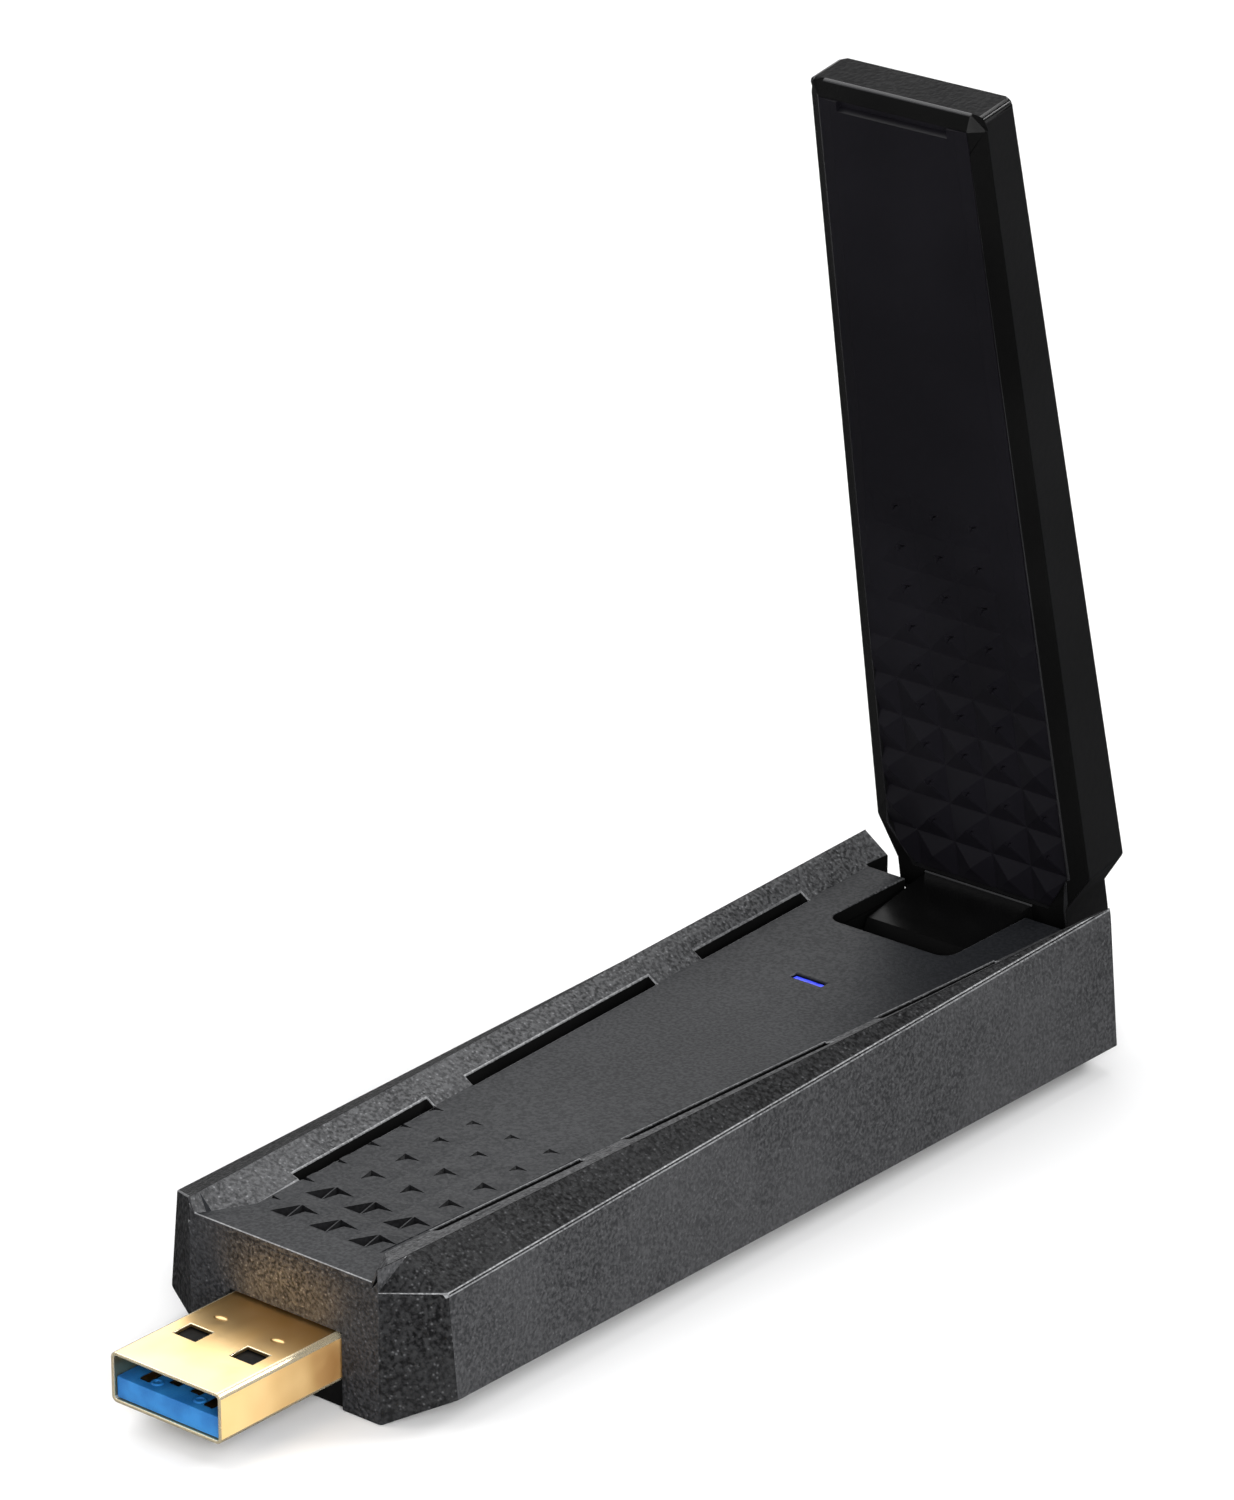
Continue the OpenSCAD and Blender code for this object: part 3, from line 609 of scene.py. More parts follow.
def tray_finish(face, point):
    """Finish of a face of the lower housing: a painted highlight on upper rounded edges, painted shade on
    the walls of the notch, then the lit and shaded copies of the plastic, picked by where the face looks.
    """
    normal = face.normal
    if is_strip(face) and point.z > HIGHLIGHT_LOW_MM and outside(point):
        return EDGE_PAINTED_HIGHLIGHT
    if in_notch(point):
        return BLACK_AND_PAINTED_SHADE
    if normal.z > 0.5 and abs(point.x) > TOP_BEVEL_HALF_MM:
        return BEVEL_PAINTED_SHADE
    if normal.y < -0.93:
        return FRONT_PAINTED_SHADE
    return BEVEL_PAINTED_SHADE if normal.y < -0.3 else SIDE_PAINTED_LIGHT


def build_lower_housing():
    bm = cleaned("lower_housing")

    def outer_edge(point, edge):
        long_enough = edge.calc_length() > SHORT_EDGE_MM * MM
        return long_enough and outside(point) and not on_ridge(point) and abs(point.x) > COLLAR_HALF_MM

    round_edges(bm, EDGE_MM, 3, outer_edge, least_turn=18)
    paint(bm, TRAY_FINISHES, tray_finish)
    mesh = to_mesh(bm, "housing_tray", *TRAY_FINISHES)
    piece("housing_tray", mesh, "housing", "housing", "lower_housing")


# ---------------------------------------------------------------- relief of the cover

# Raised pyramids, each with a pit below its top; the tables have one value for each row from the front
CELL_MM = (4.25, 4.21)
FIRST_CELL_MM = (-9.67, FRONT_MM + 4.25)
COLUMNS, ROWS = 5, 6
SLOT_GAP_MM = 0.3
PEAK_IN_CELL_MM = (1.80, 2.12)
PEAK_HEIGHT_MM = (0.27, 0.27, 0.23, 0.18, 0.13, 0.08)
PIT_DEPTH_MM = (1.0, 1.0, 0.62, 0.58, 0.4, 0.34)
PIT_SIZE = (1.0, 1.0, 0.88, 0.88, 0.66, 0.62)
BLOCK_DEPTH_MM = 0.5
BLOCK_LIFT_MM = 0.002
CUTTER_RISE_MM = 1
DOUBLE_PIT_ROWS = 2


def panel_point(x, y, up):
    """A point in metres, so many millimetres above the panel."""
    return Vector((x, y, along(y, PANEL_Z_MM) + up)) * MM


def trim_to_panel(bm):
    """Cuts a closed bmesh off at both sides of the panel, just inside the vent slots."""
    lean = math.atan((PANEL_HALF_MM[1] - PANEL_HALF_MM[0]) / (REAR_MM - FRONT_MM))
    for side in (-1, 1):
        edge = Vector((side * (PANEL_HALF_MM[0] - SLOT_GAP_MM), FRONT_MM, 0)) * MM
        outward = Vector((side * math.cos(lean), -math.sin(lean), 0))
        everything = bm.verts[:] + bm.edges[:] + bm.faces[:]
        cut = bmesh.ops.bisect_plane(
            bm, geom=everything, plane_co=edge, plane_no=outward, clear_outer=True
        )
        rim = [part for part in cut["geom_cut"] if isinstance(part, bmesh.types.BMEdge)]
        if rim:
            bmesh.ops.edgeloop_fill(bm, edges=rim)
    bmesh.ops.recalc_face_normals(bm, faces=bm.faces)
    bm.normal_update()


def relief_block():
    """One closed block with the pyramids on its top, cut to the panel's width."""
    faces = []
    for i in range(COLUMNS):
        for j in range(ROWS):
            x0, y0 = cell_corner(FIRST_CELL_MM, CELL_MM, i, j)
            x1, y1 = x0 + CELL_MM[0], y0 + CELL_MM[1]
            corners = [(x0, y0), (x1, y0), (x1, y1), (x0, y1)]
            peak = panel_point(x0 + PEAK_IN_CELL_MM[0], y0 + PEAK_IN_CELL_MM[1], PEAK_HEIGHT_MM[j])
            top = [panel_point(*corner, BLOCK_LIFT_MM) for corner in corners]
            bottom = [panel_point(*corner, -BLOCK_DEPTH_MM) for corner in corners]
            faces += cell_faces(bottom, top, peak, (j == 0, i == COLUMNS - 1, j == ROWS - 1, i == 0))
    bm = solid(faces)
    trim_to_panel(bm)
    return bm


def cell_pits(peak_x, peak_y, j):
    """Faces of one pyramid's cutters: a wide pit on the right, and in the first rows one on the left."""
    scale, depth, height = PIT_SIZE[j], PIT_DEPTH_MM[j], PEAK_HEIGHT_MM[j]
    rise = Vector((0, 0, CUTTER_RISE_MM * MM))

    def spot(across, back, up):
        return panel_point(peak_x + across * scale, peak_y + back * scale, up)

    nearest = spot(0.22, -2.02, 0) if j < DOUBLE_PIT_ROWS else spot(0.18, -1.7, 0)
    right = [nearest, spot(0.9, -0.62, height * 0.35), spot(2.03, -0.12, 0.02), spot(0, 0, height - 0.01)]
    faces = pit_faces(right, [point + rise for point in right], spot(0.7, -0.55, -depth))
    if j < DOUBLE_PIT_ROWS:
        left = [spot(-1.72, -2.02, 0), spot(0.1, -2.02, 0), spot(-0.12, -0.05, height - 0.03)]
        faces += pit_faces(left, [point + rise for point in left], spot(-0.1, -1.5, -depth * 0.95))
    return faces


def relief_pits():
    """The cutters of all pits as one bmesh, cut to the panel's width."""
    faces = []
    for i in range(COLUMNS):
        for j in range(ROWS):
            x0, y0 = cell_corner(FIRST_CELL_MM, CELL_MM, i, j)
            faces += cell_pits(x0 + PEAK_IN_CELL_MM[0], y0 + PEAK_IN_CELL_MM[1], j)
    bm = from_faces(faces, 0.0005)
    trim_to_panel(bm)
    return bm


# ---------------------------------------------------------------- cover

LIP_EDGE_MM = 0.18
LIP_HALF_MM = 9
SLOT_EDGE_MM = 0.12
BEHIND_LIP_MM = 0.3
LIGHT_WINDOW_HALF_MM = 5.5
REAR_EDGES_MM = 19.5
CHAMFER_MM = 2.2
CHAMFER_HALF_MM = 9.6
BY_SLOT_MM = 1.4
HIGHLIGHT_REAR_MM = 35
COVER_FINISHES = (PANEL, SLOPE_PAINTED_LIGHT, FRONT_PAINTED_SHADE, BLACK_AND_PAINTED_SHADE, EDGE_PAINTED_HIGHLIGHT)


def on_top(point):
    """At the panel's height or above it, away from the seam."""
    return point.z > along(point.y, PANEL_Z_MM) - SKIN_MM and not on_ridge(point)


def highlight_place(point):
    """Where the cover's edges get a painted highlight: at its front lip and along its vent slots."""
    from_slots = abs(abs(point.x) - along(point.y, PANEL_HALF_MM))
    near = point.y < FRONT_MM + BEHIND_LIP_MM or from_slots < BY_SLOT_MM
    return near and point.y < HIGHLIGHT_REAR_MM and on_top(point)


def cover_finish(face, point):
    """Finish of a face of the cover: a painted highlight on rounded edges, then by place and by where the
    face looks, with painted shade on its upright walls and a lit copy on the slopes.
    """
    normal = face.normal
    front_chamfer = normal.z > 0.6 and point.y < FRONT_MM + CHAMFER_MM and abs(point.x) < CHAMFER_HALF_MM
    if is_strip(face) and normal.z > 0.1 and highlight_place(point):
        return EDGE_PAINTED_HIGHLIGHT
    if normal.z > 0.985 or front_chamfer:
        return PANEL
    if point.y < FRONT_MM + SKIN_MM and normal.y < -0.7:
        return FRONT_PAINTED_SHADE
    if normal.z < 0.3:
        return BLACK_AND_PAINTED_SHADE
    return SLOPE_PAINTED_LIGHT if normal.z < 0.95 and abs(normal.x) > 0.3 else PANEL


def build_top_cover():
    bm = cleaned("top_cover")

    def lip_edge(point, edge):
        return on_top(point) and point.y < FRONT_MM + SKIN_MM and abs(point.x) < LIP_HALF_MM

    def opening_edge(point, edge):
        beside = abs(point.x) > LIGHT_WINDOW_HALF_MM or point.y > REAR_EDGES_MM
        return on_top(point) and point.y > FRONT_MM + BEHIND_LIP_MM and beside

    round_edges(bm, LIP_EDGE_MM, 3, lip_edge)
    round_edges(bm, SLOT_EDGE_MM, 2, opening_edge, least_turn=40)
    paint(bm, COVER_FINISHES, cover_finish)
    mesh = to_mesh(bm, "cover", *COVER_FINISHES)
    mesh = combine(mesh, to_mesh(relief_block(), "relief", PANEL), "UNION")
    # The pits' walls keep the cutters' darker plastic, a painted shade.
    mesh = combine(mesh, to_mesh(relief_pits(), "pits", PIT_PAINTED_SHADE), "DIFFERENCE")
    piece("housing_cover", mesh, "housing", "cover", "top_cover", smooth=6)


# ---------------------------------------------------------------- plug

# Distances along the plug are measured from its tip
WINDOW_X_MM = 3.13
WINDOWS_MM = (4, 9)
DIMPLE_MM = 9.9
DIMPLE_RADII_MM = (0.72, 0.46, 0.2)
# Dark sheets behind the upper latch windows, put there as painted shade.
SHEET_START_MM = 4.6
SHEET_LENGTH_MM = 4.0
SHEET_HALF_MM = 1.6
SHEET_THICK_MM = 0.12
SHEET_DROP_MM = 0.34
SHEET_SAG_MM = 0.28
SHEET_STEPS = 12
NUB_X_MM = 2.33
NUB_MM = 1.55
NUB_RING_MM = 0.42
NUB_TUBE_MM = 0.15
NUB_HEIGHT_MM = 0.12
NUB_STEPS = (20, 10)
TIP_EDGE_MM = 0.1
WINDOW_EDGE_MM = 0.07
TONGUE_EDGE_MM = 0.09
SHORT_TONGUE_EDGE_MM = 0.4
CORNER_MM = 0.5
ON_FACE_MM = 0.02
PLUG_FINISHES = (GOLD, GOLD_PAINTED_HIGHLIGHT, GOLD_SIDE_PAINTED_LIGHT)


def plug_finish(face, point):
    """Finish of a face of the plug: a painted highlight on rounded edges and corners, and on the sides a
    copy of the gold with stronger painted shade.
    """
    corner = abs(point.x) > plug_high.x - CORNER_MM and 0.2 < abs(face.normal.x) < 0.98
    if (is_strip(face) and point.y < TIP_MM + WINDOWS_MM[1]) or corner:
        return GOLD_PAINTED_HIGHLIGHT
    return GOLD_SIDE_PAINTED_LIGHT if abs(point.x) > plug_high.x - ON_FACE_MM else GOLD


def dimple(side, z):
    """Cutter of the small dimple behind a latch window, at height z."""
    bm = bmesh.new()
    bmesh.ops.create_uvsphere(bm, u_segments=32, v_segments=17, radius=1)
    wide, long, deep = DIMPLE_RADII_MM
    for v in bm.verts:
        x = side * WINDOW_X_MM + v.co.x * wide
        v.co = Vector((x, TIP_MM + DIMPLE_MM + v.co.y * long, z + v.co.z * deep)) * MM
    return to_mesh(bm, "stamp", GOLD)


def build_plug_shell():
    bm = cleaned("usb_shell")

    def tip_edge(point, edge):
        return point.y < TIP_MM + ON_FACE_MM

    def window_edge(point, edge):
        on_skin = point.z > plug_high.z - ON_FACE_MM or point.z < plug_low.z + ON_FACE_MM
        return on_skin and TIP_MM + WINDOWS_MM[0] < point.y < TIP_MM + WINDOWS_MM[1]

    round_edges(bm, TIP_EDGE_MM, 3, tip_edge, least_turn=50)
    round_edges(bm, WINDOW_EDGE_MM, 2, window_edge, least_turn=50)
    paint(bm, PLUG_FINISHES, plug_finish)
    mesh = to_mesh(bm, "plug_shell", *PLUG_FINISHES)
    for side in (-1, 1):
        for z in (plug_high.z, plug_low.z):
            mesh = combine(mesh, dimple(side, z), "DIFFERENCE")
    piece("plug_shell", mesh, "housing", "gold_plate", "usb_shell")


def build_window_shade_sheet(name, side):
    """Dark sheet behind an upper latch window, raised in its middle: painted shade inside the window."""
    bm = bmesh.new()
    top = plug_high.z - SHEET_DROP_MM
    rows = []
    for k in range(SHEET_STEPS + 1):
        t = k / SHEET_STEPS
        y = TIP_MM + SHEET_START_MM + SHEET_LENGTH_MM * t
        sag = SHEET_SAG_MM * (2 * t - 1) ** 2
        upper, lower = top - sag, top - sag - SHEET_THICK_MM
        half = SHEET_HALF_MM
        spots = ((-half, upper), (half, upper), (half, lower), (-half, lower))
        rows.append([bm.verts.new(Vector((side * WINDOW_X_MM + x, y, z)) * MM) for x, z in spots])
    for near, far in zip(rows, rows[1:]):
        for k in range(4):
            bm.faces.new([near[k], near[(k + 1) % 4], far[(k + 1) % 4], far[k]])
    bm.faces.new(rows[0][::-1])
    bm.faces.new(rows[-1])
    bmesh.ops.recalc_face_normals(bm, faces=bm.faces)
    piece(name, to_mesh(bm, name, BLACK_AND_PAINTED_SHADE), "housing", "black_insert", smooth=40)


def build_nub(name, side):
    """Low ring moulded on the insulator's tongue near its front edge."""
    bm = bmesh.new()
    tongue_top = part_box("usb_contacts_front")[1].z / MM
    rings, around = NUB_STEPS
    for i in range(rings):
        a = 2 * math.pi * i / rings
        for j in range(around):
            b = 2 * math.pi * j / around
            radius = NUB_RING_MM + NUB_TUBE_MM * math.cos(b)
            x = side * NUB_X_MM + radius * math.cos(a)
            y = TIP_MM + NUB_MM + radius * math.sin(a)
            bm.verts.new(Vector((x, y, tongue_top + NUB_HEIGHT_MM * math.sin(b))) * MM)
    bm.verts.ensure_lookup_table()
    for i in range(rings):
        for j in range(around):
            here, there = i * around, (i + 1) % rings * around
            corners = [here + j, here + (j + 1) % around, there + (j + 1) % around, there + j]
            bm.faces.new([bm.verts[k] for k in corners])
    bmesh.ops.recalc_face_normals(bm, faces=bm.faces)
    piece(name, to_mesh(bm, name, BLUE), "housing", "blue_insulator", smooth=60)


def build_insulator():
    bm = cleaned("usb_insulator")

    def long_edge(point, edge):
        return edge.calc_length() > SHORT_TONGUE_EDGE_MM * MM

    round_edges(bm, TONGUE_EDGE_MM, 2, long_edge, least_turn=60)
    mesh = to_mesh(bm, "plug_insulator", BLUE)
    piece("plug_insulator", mesh, "housing", "blue_insulator", "usb_insulator")


def build_softened(name, node, slot, finish, width_mm):
    """A piece of the housing with all its longer edges rounded."""
    bm = cleaned(node)

    def long_edge(point, edge):
        return edge.calc_length() > 2.5 * width_mm * MM

    round_edges(bm, width_mm, 2, long_edge, least_turn=40)
    piece(name, to_mesh(bm, name, finish), "housing", slot, node)


# ---------------------------------------------------------------- antenna

# Across, towards the tip ("reach") and towards the back ("depth"), measured from the hinge
PLATE_FACE_MM = 7.0
SHELL_EDGE_MM = 0.2
SHELL_HALF_MM = 9.0
SHELL_TIP_HALF_MM = 8.8
SHELL_TIP_MM = 84.0
SHELL_FRONT_MM = 6.9
SHELL_BACK_MM = 12.1
TIP_PART_MM = 80
TIP_CORNER_MM = (9.1, 83.9, 8.3)
SEAM_HALF_MM = (7, 10.4)
SEAM_REACH_MM = (6.5, 83)
SEAM_DEPTH_MM = (7.1, 7.35)
POLISHED_REACH_MM = 83.2
END_EDGES_REACH_MM = 83.5
FRONT_EDGES_DEPTH_MM = 7.4
EDGE_LINES_DEPTH_MM = 8.6
TIP_CORNER_EDGE_MM = 0.6
SEAM_EDGE_MM = 0.1
SHORT_SEAM_MM = 5
SHORT_SHELL_EDGE_MM = 1.0
SHELL_FINISHES = (ANTENNA, BRUSHED, SHINE_AND_PAINTED_HIGHLIGHT, EDGE_LINE_PAINTED_HIGHLIGHT, GLOSS)


def shell_finish(face, point):
    """Finish of a face of the antenna's shell: polished tip corners and edge strips, both lighter as a
    painted highlight, glossy front, brushed tip.
    """
    across, reach, depth = local(point)
    towards_side, towards_tip, towards_back = turned(face.normal)
    if reach > POLISHED_REACH_MM and 0.25 < towards_tip < 0.97 and abs(towards_side) > 0.2:
        return SHINE_AND_PAINTED_HIGHLIGHT
    on_end_or_front = reach > END_EDGES_REACH_MM or depth < FRONT_EDGES_DEPTH_MM
    if is_strip(face) and on_end_or_front and depth < EDGE_LINES_DEPTH_MM:
        return EDGE_LINE_PAINTED_HIGHLIGHT
    if towards_back < -0.5:
        return GLOSS
    return BRUSHED if towards_tip > 0.8 and reach > TIP_PART_MM else ANTENNA


def build_antenna_shell():
    bm = cleaned("antenna_back_cover")

    def tip_corner(point, edge):
        across, reach, depth = local(point)
        return abs(across) > TIP_CORNER_MM[0] and reach > TIP_CORNER_MM[1] and depth > TIP_CORNER_MM[2]

    def seam_edge(point, edge):
        across, reach, depth = local(point)
        beside_plate = SEAM_HALF_MM[0] < abs(across) < SEAM_HALF_MM[1]
        at_seam = SEAM_DEPTH_MM[0] < depth < SEAM_DEPTH_MM[1] and SEAM_REACH_MM[0] < reach < SEAM_REACH_MM[1]
        return beside_plate and at_seam and edge.calc_length() > SHORT_SEAM_MM * MM

    def outer_edge(point, edge):
        across, reach, depth = local(point)
        half = SHELL_TIP_HALF_MM if reach > TIP_PART_MM else SHELL_HALF_MM
        hull = abs(across) > half or reach > SHELL_TIP_MM or depth > SHELL_BACK_MM
        return hull and depth > SHELL_FRONT_MM and edge.calc_length() > SHORT_SHELL_EDGE_MM * MM

    round_edges(bm, TIP_CORNER_EDGE_MM, 4, tip_corner, least_turn=40)
    round_edges(bm, SEAM_EDGE_MM, 2, seam_edge, least_turn=40)
    round_edges(bm, SHELL_EDGE_MM, 3, outer_edge, least_turn=16)
    paint(bm, SHELL_FINISHES, shell_finish)
    mesh = to_mesh(bm, "antenna_shell", *SHELL_FINISHES)
    piece("antenna_shell", mesh, "antenna", "antenna_shell", "antenna_back_cover")


# Relief of the front plate; the tables have one value for each row from the hinge towards the tip
PLATE_CELL_MM = (4.27, 4.05)
PLATE_FIRST_MM = (-11.41, 5.36)
PLATE_COLUMNS, PLATE_ROWS = 6, 11
PLATE_DEPTH_MM = (0.8, 0.8, 0.78, 0.72, 0.62, 0.5, 0.38, 0.27, 0.18, 0.1, 0.04)
PLATE_PIT_SIZE = (0.0, 0.6, 0.7, 0.8, 0.85, 0.85, 0.8, 0.75, 0.65, 0.5)
PLATE_PIT_DEPTH_MM = (0.0, 0.3, 0.35, 0.4, 0.4, 0.35, 0.28, 0.2, 0.12, 0.07)
PLATE_PIT_OUTLINE_MM = ((0, -1.45), (0.75, -0.35), (1.75, 0.3), (0, 0))
PLATE_PIT_DEEPEST_MM = (0.55, -0.4)
PLATE_PIT_EXTRA_MM = 0.25
PLATE_PIT_RIM_MM = 0.02
PIT_HALF_MM = 8.2
PIT_NARROWING = 0.02
PLATE_PEAK_SHIFT_MM = 0.25
PLATE_SKIM_MM = 0.004
CUTTER_FRONT_MM = 1.0
PIT_CUTTER_FRONT_MM = 0.8


def pit_half_width(reach):
    """How far from the middle of the plate its pits go; less towards the tip."""
    return PIT_HALF_MM - reach * PIT_NARROWING


def plate_cutter():
    """What is cut from the front of the plate to leave pyramids whose tops lie in its face."""
    faces = []

    def depth_at(j):
        return PLATE_FACE_MM + (PLATE_DEPTH_MM[j] if j < PLATE_ROWS else -PLATE_SKIM_MM)

    for i in range(PLATE_COLUMNS):
        for j in range(PLATE_ROWS):
            x0, s0 = cell_corner(PLATE_FIRST_MM, PLATE_CELL_MM, i, j)
            x1, s1 = x0 + PLATE_CELL_MM[0], s0 + PLATE_CELL_MM[1]
            near, far = depth_at(j), depth_at(j + 1)
            corners = [(x0, s0, near), (x1, s0, near), (x1, s1, far), (x0, s1, far)]
            deep = [on_antenna(*corner) for corner in corners]
            front = [on_antenna(x, reach, PLATE_FACE_MM - CUTTER_FRONT_MM) for x, reach, _ in corners]
            peak = on_antenna(
                (x0 + x1) / 2, (s0 + s1) / 2 + PLATE_PEAK_SHIFT_MM, PLATE_FACE_MM + PLATE_SKIM_MM
            )
            at_edge = (j == 0, i == PLATE_COLUMNS - 1, j == PLATE_ROWS - 1, i == 0)
            faces += cell_faces(front, deep, peak, at_edge)
    return solid(faces)


def plate_pits():
    """Small notches under the tops of the pyramids."""
    faces = []
    for i in range(PLATE_COLUMNS):
        for j in range(PLATE_ROWS - 1):
            x, reach = cell_corner(PLATE_FIRST_MM, PLATE_CELL_MM, i + 0.5, j + 0.5)
            reach += PLATE_PEAK_SHIFT_MM
            k = PLATE_PIT_SIZE[j]
            if not k or abs(x) > pit_half_width(reach):
                continue
            opening = [(x + across * k, reach + up * k) for across, up in PLATE_PIT_OUTLINE_MM]
            rim = [on_antenna(*spot, PLATE_FACE_MM + PLATE_PIT_RIM_MM) for spot in opening]
            front = [on_antenna(*spot, PLATE_FACE_MM - PIT_CUTTER_FRONT_MM) for spot in opening]
            across, up = PLATE_PIT_DEEPEST_MM
            depth = PLATE_FACE_MM + PLATE_PIT_DEPTH_MM[j] + PLATE_PIT_EXTRA_MM
            faces += pit_faces(rim, front, on_antenna(x + across * k, reach + up * k, depth))
    return solid(faces)


def build_antenna_plate():
    mesh = to_mesh(cleaned("antenna_front_plate"), "antenna_plate", PLATE)
    for cutter in (plate_cutter(), plate_pits()):
        mesh = combine(mesh, to_mesh(cutter, "plate_tool", PLATE), "DIFFERENCE")
    piece("antenna_plate", mesh, "antenna", "antenna_plate", "antenna_front_plate", smooth=4)


FOOT_EDGE_MM = 0.22
FOOT_HALF_MM = 5.9
FOOT_BACK_MM = 12.6
SHORT_FOOT_EDGE_MM = 0.3


def build_foot():
    bm = cleaned("antenna_foot")

    def visible(point, edge):
        across, reach, depth = local(point)
        long_enough = edge.calc_length() > SHORT_FOOT_EDGE_MM * MM
        return long_enough and abs(across) > FOOT_HALF_MM and depth < FOOT_BACK_MM

    round_edges(bm, FOOT_EDGE_MM, 3, visible, least_turn=50)
    mesh = to_mesh(bm, "antenna_heel", GLOSS)
    piece("antenna_heel", mesh, "antenna", "gloss_black", "antenna_foot", smooth=40)


FILLET_HALF_MM = 6.05
FILLET_RADIUS_MM = 0.12
FILLET_STEPS = 5
FILLET_REACH_MM = 5.75
FILLET_DEPTH_MM = 6.95
FILLET_SINK_MM = 0.02


def build_foot_fillet():
    """Rounded corner along the top of the foot, where it meets the front plate, in a lighter black that
    paints a highlight line.
    """
    foot = FILLET_REACH_MM - FILLET_SINK_MM
    profile = [(foot, FILLET_DEPTH_MM), (foot, FILLET_DEPTH_MM - FILLET_RADIUS_MM)]
    for k in range(FILLET_STEPS + 1):
        a = math.pi / 2 * k / FILLET_STEPS
        reach = FILLET_REACH_MM + FILLET_RADIUS_MM * (1 - math.sin(a)) * 0.98
        profile.append((reach, FILLET_DEPTH_MM - FILLET_RADIUS_MM * (1 - math.cos(a))))
    bm = bmesh.new()
    left, right = (
        [bm.verts.new(on_antenna(x, *spot)) for spot in profile] for x in (-FILLET_HALF_MM, FILLET_HALF_MM)
    )
    n = len(profile)
    for k in range(n):
        bm.faces.new([left[k], right[k], right[(k + 1) % n], left[(k + 1) % n]])
    bm.faces.new(left)
    bm.faces.new(right[::-1])
    bmesh.ops.remove_doubles(bm, verts=bm.verts, dist=0.0005 * MM)
    bmesh.ops.recalc_face_normals(bm, faces=bm.faces)
    piece("antenna_heel_fillet", to_mesh(bm, "fillet", EDGE_LINE_PAINTED_HIGHLIGHT), "antenna", "gloss_black", smooth=40)


# ---------------------------------------------------------------- floor and light

BACKDROP = (0.9, 0.9, 0.9, 1)
FLOOR_HALF_M = 3
FLOOR_DROP_M = 0.00005

# Name, place and target in metres, size in metres, power in watts, and whether gloss mirrors it
AREA_LIGHTS = (
    ("key_right", (0.26, -0.25, 0.14), (0, -0.01, 0.01), 0.22, 1.75, False),
    ("overhead", (-0.20, 0.06, 0.38), (0, 0, 0.02), 0.5, 1.35, True),
    ("front_left", (-0.45, -0.75, 0.35), (0, 0, 0.02), 0.4, 2.4, False),
    ("back_right", (0.42, 0.60, 0.58), (0, 0, 0.03), 0.28, 3.0, True),
    ("back_left", (-0.52, 0.66, 0.36), (0, 0, 0.03), 0.6, 1.0, True),
)
GLOW_COLOUR = (1, 0.62, 0.25)
GLOW_WATTS = 0.0040
GLOW_SPREAD_DEG = 105
GLOW_RADIUS_M = 0.0006
GLOW_X_M = 0.0025
GLOW_FROM_M = (-0.0516, 0.0080)
GLOW_TO_M = (-0.0466, 0.0100)

# Surroundings: height from straight down (0) to straight up (1), and brightness there
SKY = ((0.0, 0.01), (0.16, 0.025), (0.36, 0.14), (0.5, 0.15), (0.56, 0.22), (1.0, 0.5))


def build_floor():
    bm = bmesh.new()
    bmesh.ops.create_grid(bm, x_segments=2, y_segments=2, size=FLOOR_HALF_M)
    finish = Finish("floor", roughness=0.9, specular=0.0)
    finish.shader.inputs["Base Color"].default_value = BACKDROP
    floor = bpy.data.objects.new("floor", to_mesh(bm, "floor", finish.material))
    bpy.context.scene.collection.objects.link(floor)
    floor.location.z = -FLOOR_DROP_M
    floor.visible_glossy = False


def aim(name, data, place, target, mirrored):
    """Puts a light at its place, turned to its target; the camera never sees the lamp itself."""
    light = bpy.data.objects.new(name, data)
    light.location = place
    light.rotation_euler = (Vector(target) - Vector(place)).to_track_quat("-Z", "Y").to_euler()
    light.visible_camera = False
    light.visible_glossy = mirrored
    bpy.context.scene.collection.objects.link(light)


def area_light(name, place, target, size, watts, mirrored):
    data = bpy.data.lights.new(name, "AREA")
    data.shape = "SQUARE"
    data.size = size
    data.energy = watts
    aim(name, data, place, target, mirrored)


def warm_spot(name, side):
    """Light that the gold plug throws back on the front wall above it."""
    data = bpy.data.lights.new(name, "SPOT")
    data.energy = GLOW_WATTS
    data.color = GLOW_COLOUR
    data.spot_size = math.radians(GLOW_SPREAD_DEG)
    data.spot_blend = 1
    data.shadow_soft_size = GLOW_RADIUS_M
    aim(name, data, (side * GLOW_X_M, *GLOW_FROM_M), (side * GLOW_X_M, *GLOW_TO_M), False)


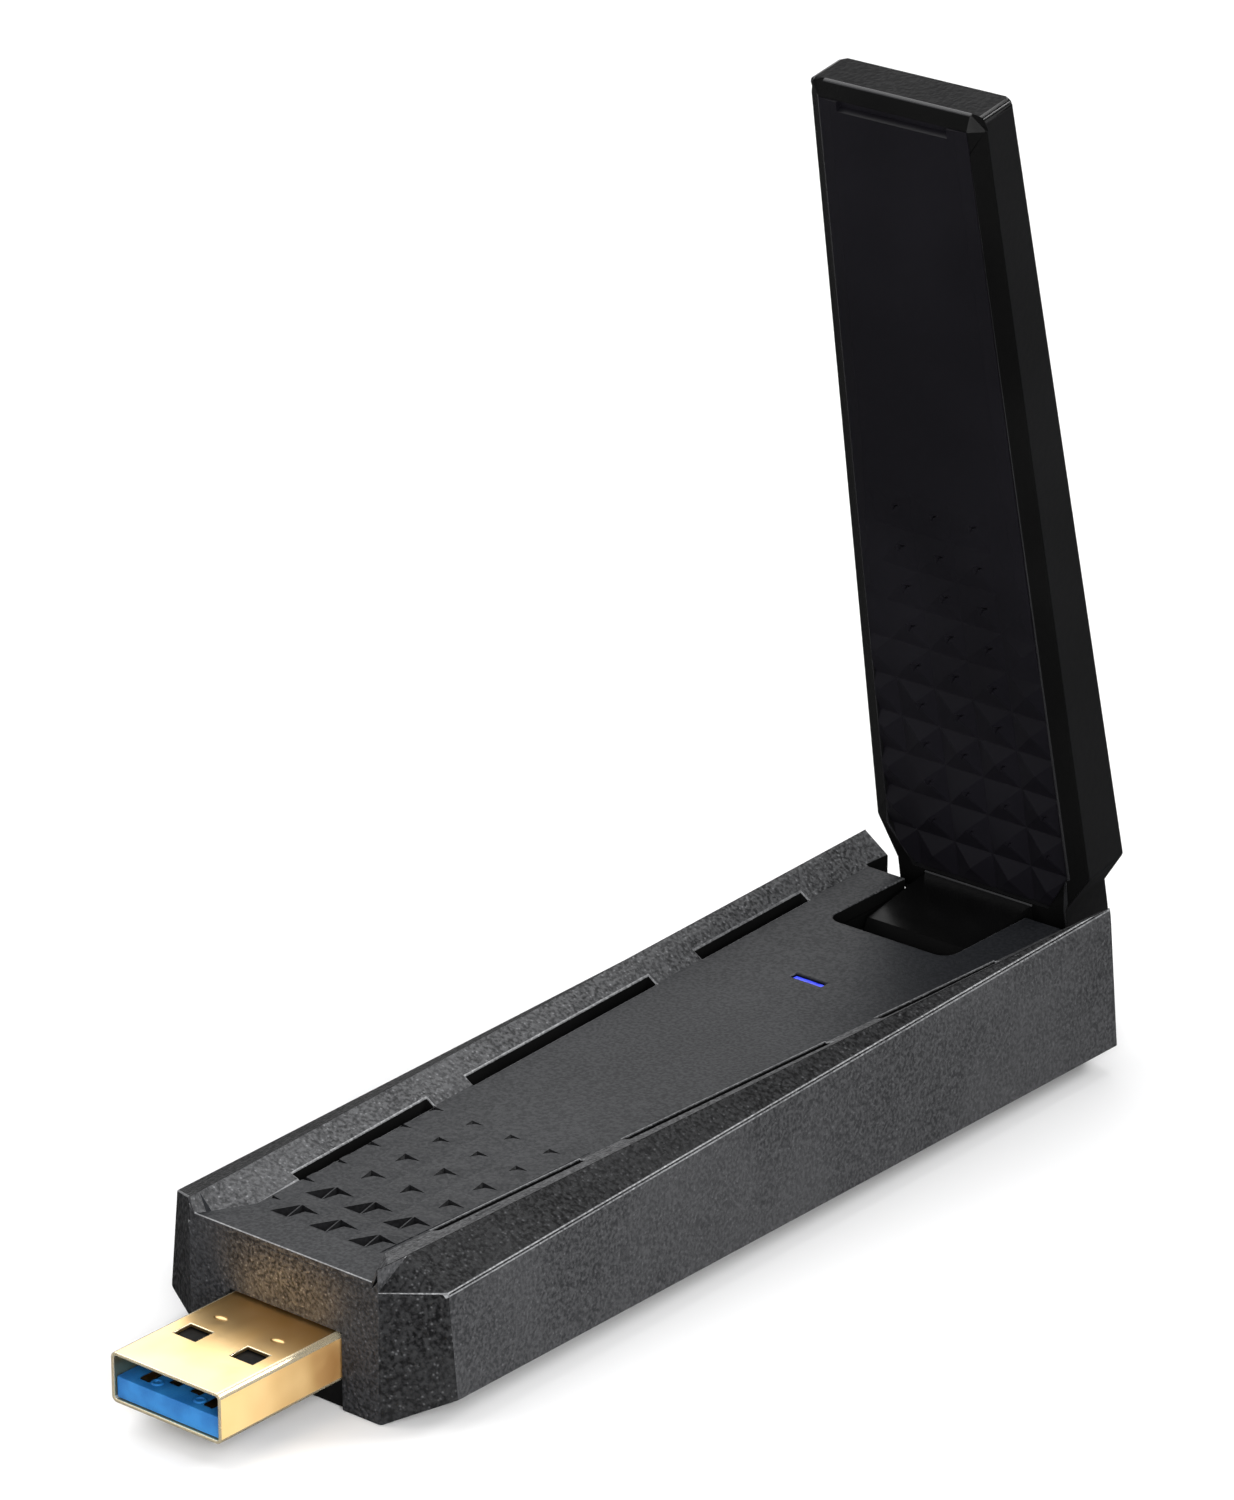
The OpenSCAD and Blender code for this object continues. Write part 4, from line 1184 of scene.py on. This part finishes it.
def build_world():
    """Soft grey surroundings: light above, dimmer below, so that gloss stays dark; the camera sees white."""
    world = bpy.data.worlds.new("studio")
    bpy.context.scene.world = world
    world.use_nodes = True
    tree = world.node_tree
    background = tree.nodes["Background"]
    place = tree.nodes.new("ShaderNodeTexCoord")
    split = tree.nodes.new("ShaderNodeSeparateXYZ")
    ramp = tree.nodes.new("ShaderNodeValToRGB")
    tree.links.new(place.outputs["Generated"], split.inputs[0])
    height = tree.nodes.new("ShaderNodeMapRange")
    height.inputs["From Min"].default_value = -1
    tree.links.new(split.outputs["Z"], height.inputs["Value"])
    tree.links.new(height.outputs["Result"], ramp.inputs["Fac"])
    while len(ramp.color_ramp.elements) < len(SKY):
        ramp.color_ramp.elements.new(0.5)
    for element, (at, level) in zip(ramp.color_ramp.elements, SKY):
        element.position = at
        element.color = (level, level, level * 1.01, 1)
    seen = tree.nodes.new("ShaderNodeLightPath")
    mix = tree.nodes.new("ShaderNodeMix")
    mix.data_type = "RGBA"
    tree.links.new(seen.outputs["Is Camera Ray"], mix.inputs[0])
    tree.links.new(ramp.outputs["Color"], mix.inputs[6])
    mix.inputs[7].default_value = BACKDROP
    tree.links.new(mix.outputs[2], background.inputs["Color"])


# ---------------------------------------------------------------- camera

CAMERA_PLACE_MM = (353.6, -424.4, 269.4)
AZIMUTH_DEG, ELEVATION_DEG, ROLL_DEG = 40.09, 22.45, 0.05
LENS_MM, SENSOR_MM = 171.2, 36
SHIFT = (-0.0022, 0.0021)
CLIP_M = (0.05, 20)


def build_camera():
    azimuth, elevation = math.radians(AZIMUTH_DEG), math.radians(ELEVATION_DEG)
    back_x = math.sin(azimuth) * math.cos(elevation)
    back_y = -math.cos(azimuth) * math.cos(elevation)
    back = Vector((back_x, back_y, math.sin(elevation)))
    data = bpy.data.cameras.new("camera")
    data.lens = LENS_MM
    data.sensor_width = SENSOR_MM
    data.shift_x, data.shift_y = SHIFT
    data.clip_start, data.clip_end = CLIP_M
    camera = bpy.data.objects.new("camera", data)
    camera.location = Vector(CAMERA_PLACE_MM) * MM
    camera.rotation_euler = (-back).to_track_quat("-Z", "Y").to_euler()
    camera.rotation_euler.rotate_axis("Z", math.radians(ROLL_DEG))
    bpy.context.scene.collection.objects.link(camera)
    bpy.context.scene.camera = camera


# ---------------------------------------------------------------- the whole scene

build_lower_housing()
build_top_cover()
build_plug_shell()
build_window_shade_sheet("plug_window_shade_left", -1)
build_window_shade_sheet("plug_window_shade_right", 1)
build_insulator()
build_nub("plug_nub_left", -1)
build_nub("plug_nub_right", 1)
build_softened("plug_collar", "usb_collar", "black_insert", BLACK_AND_PAINTED_SHADE, 0.05)
build_softened("light_lens", "light_pipe", "blue_lens", LENS, 0.08)
build_antenna_shell()
build_antenna_plate()
build_foot()
build_foot_fillet()
build_floor()
build_world()
for settings in AREA_LIGHTS:
    area_light(*settings)
for side in (-1, 1):
    warm_spot(f"gold_glow_{side + 1}", side)
build_camera()
bpy.context.scene.view_settings.view_transform = "Standard"
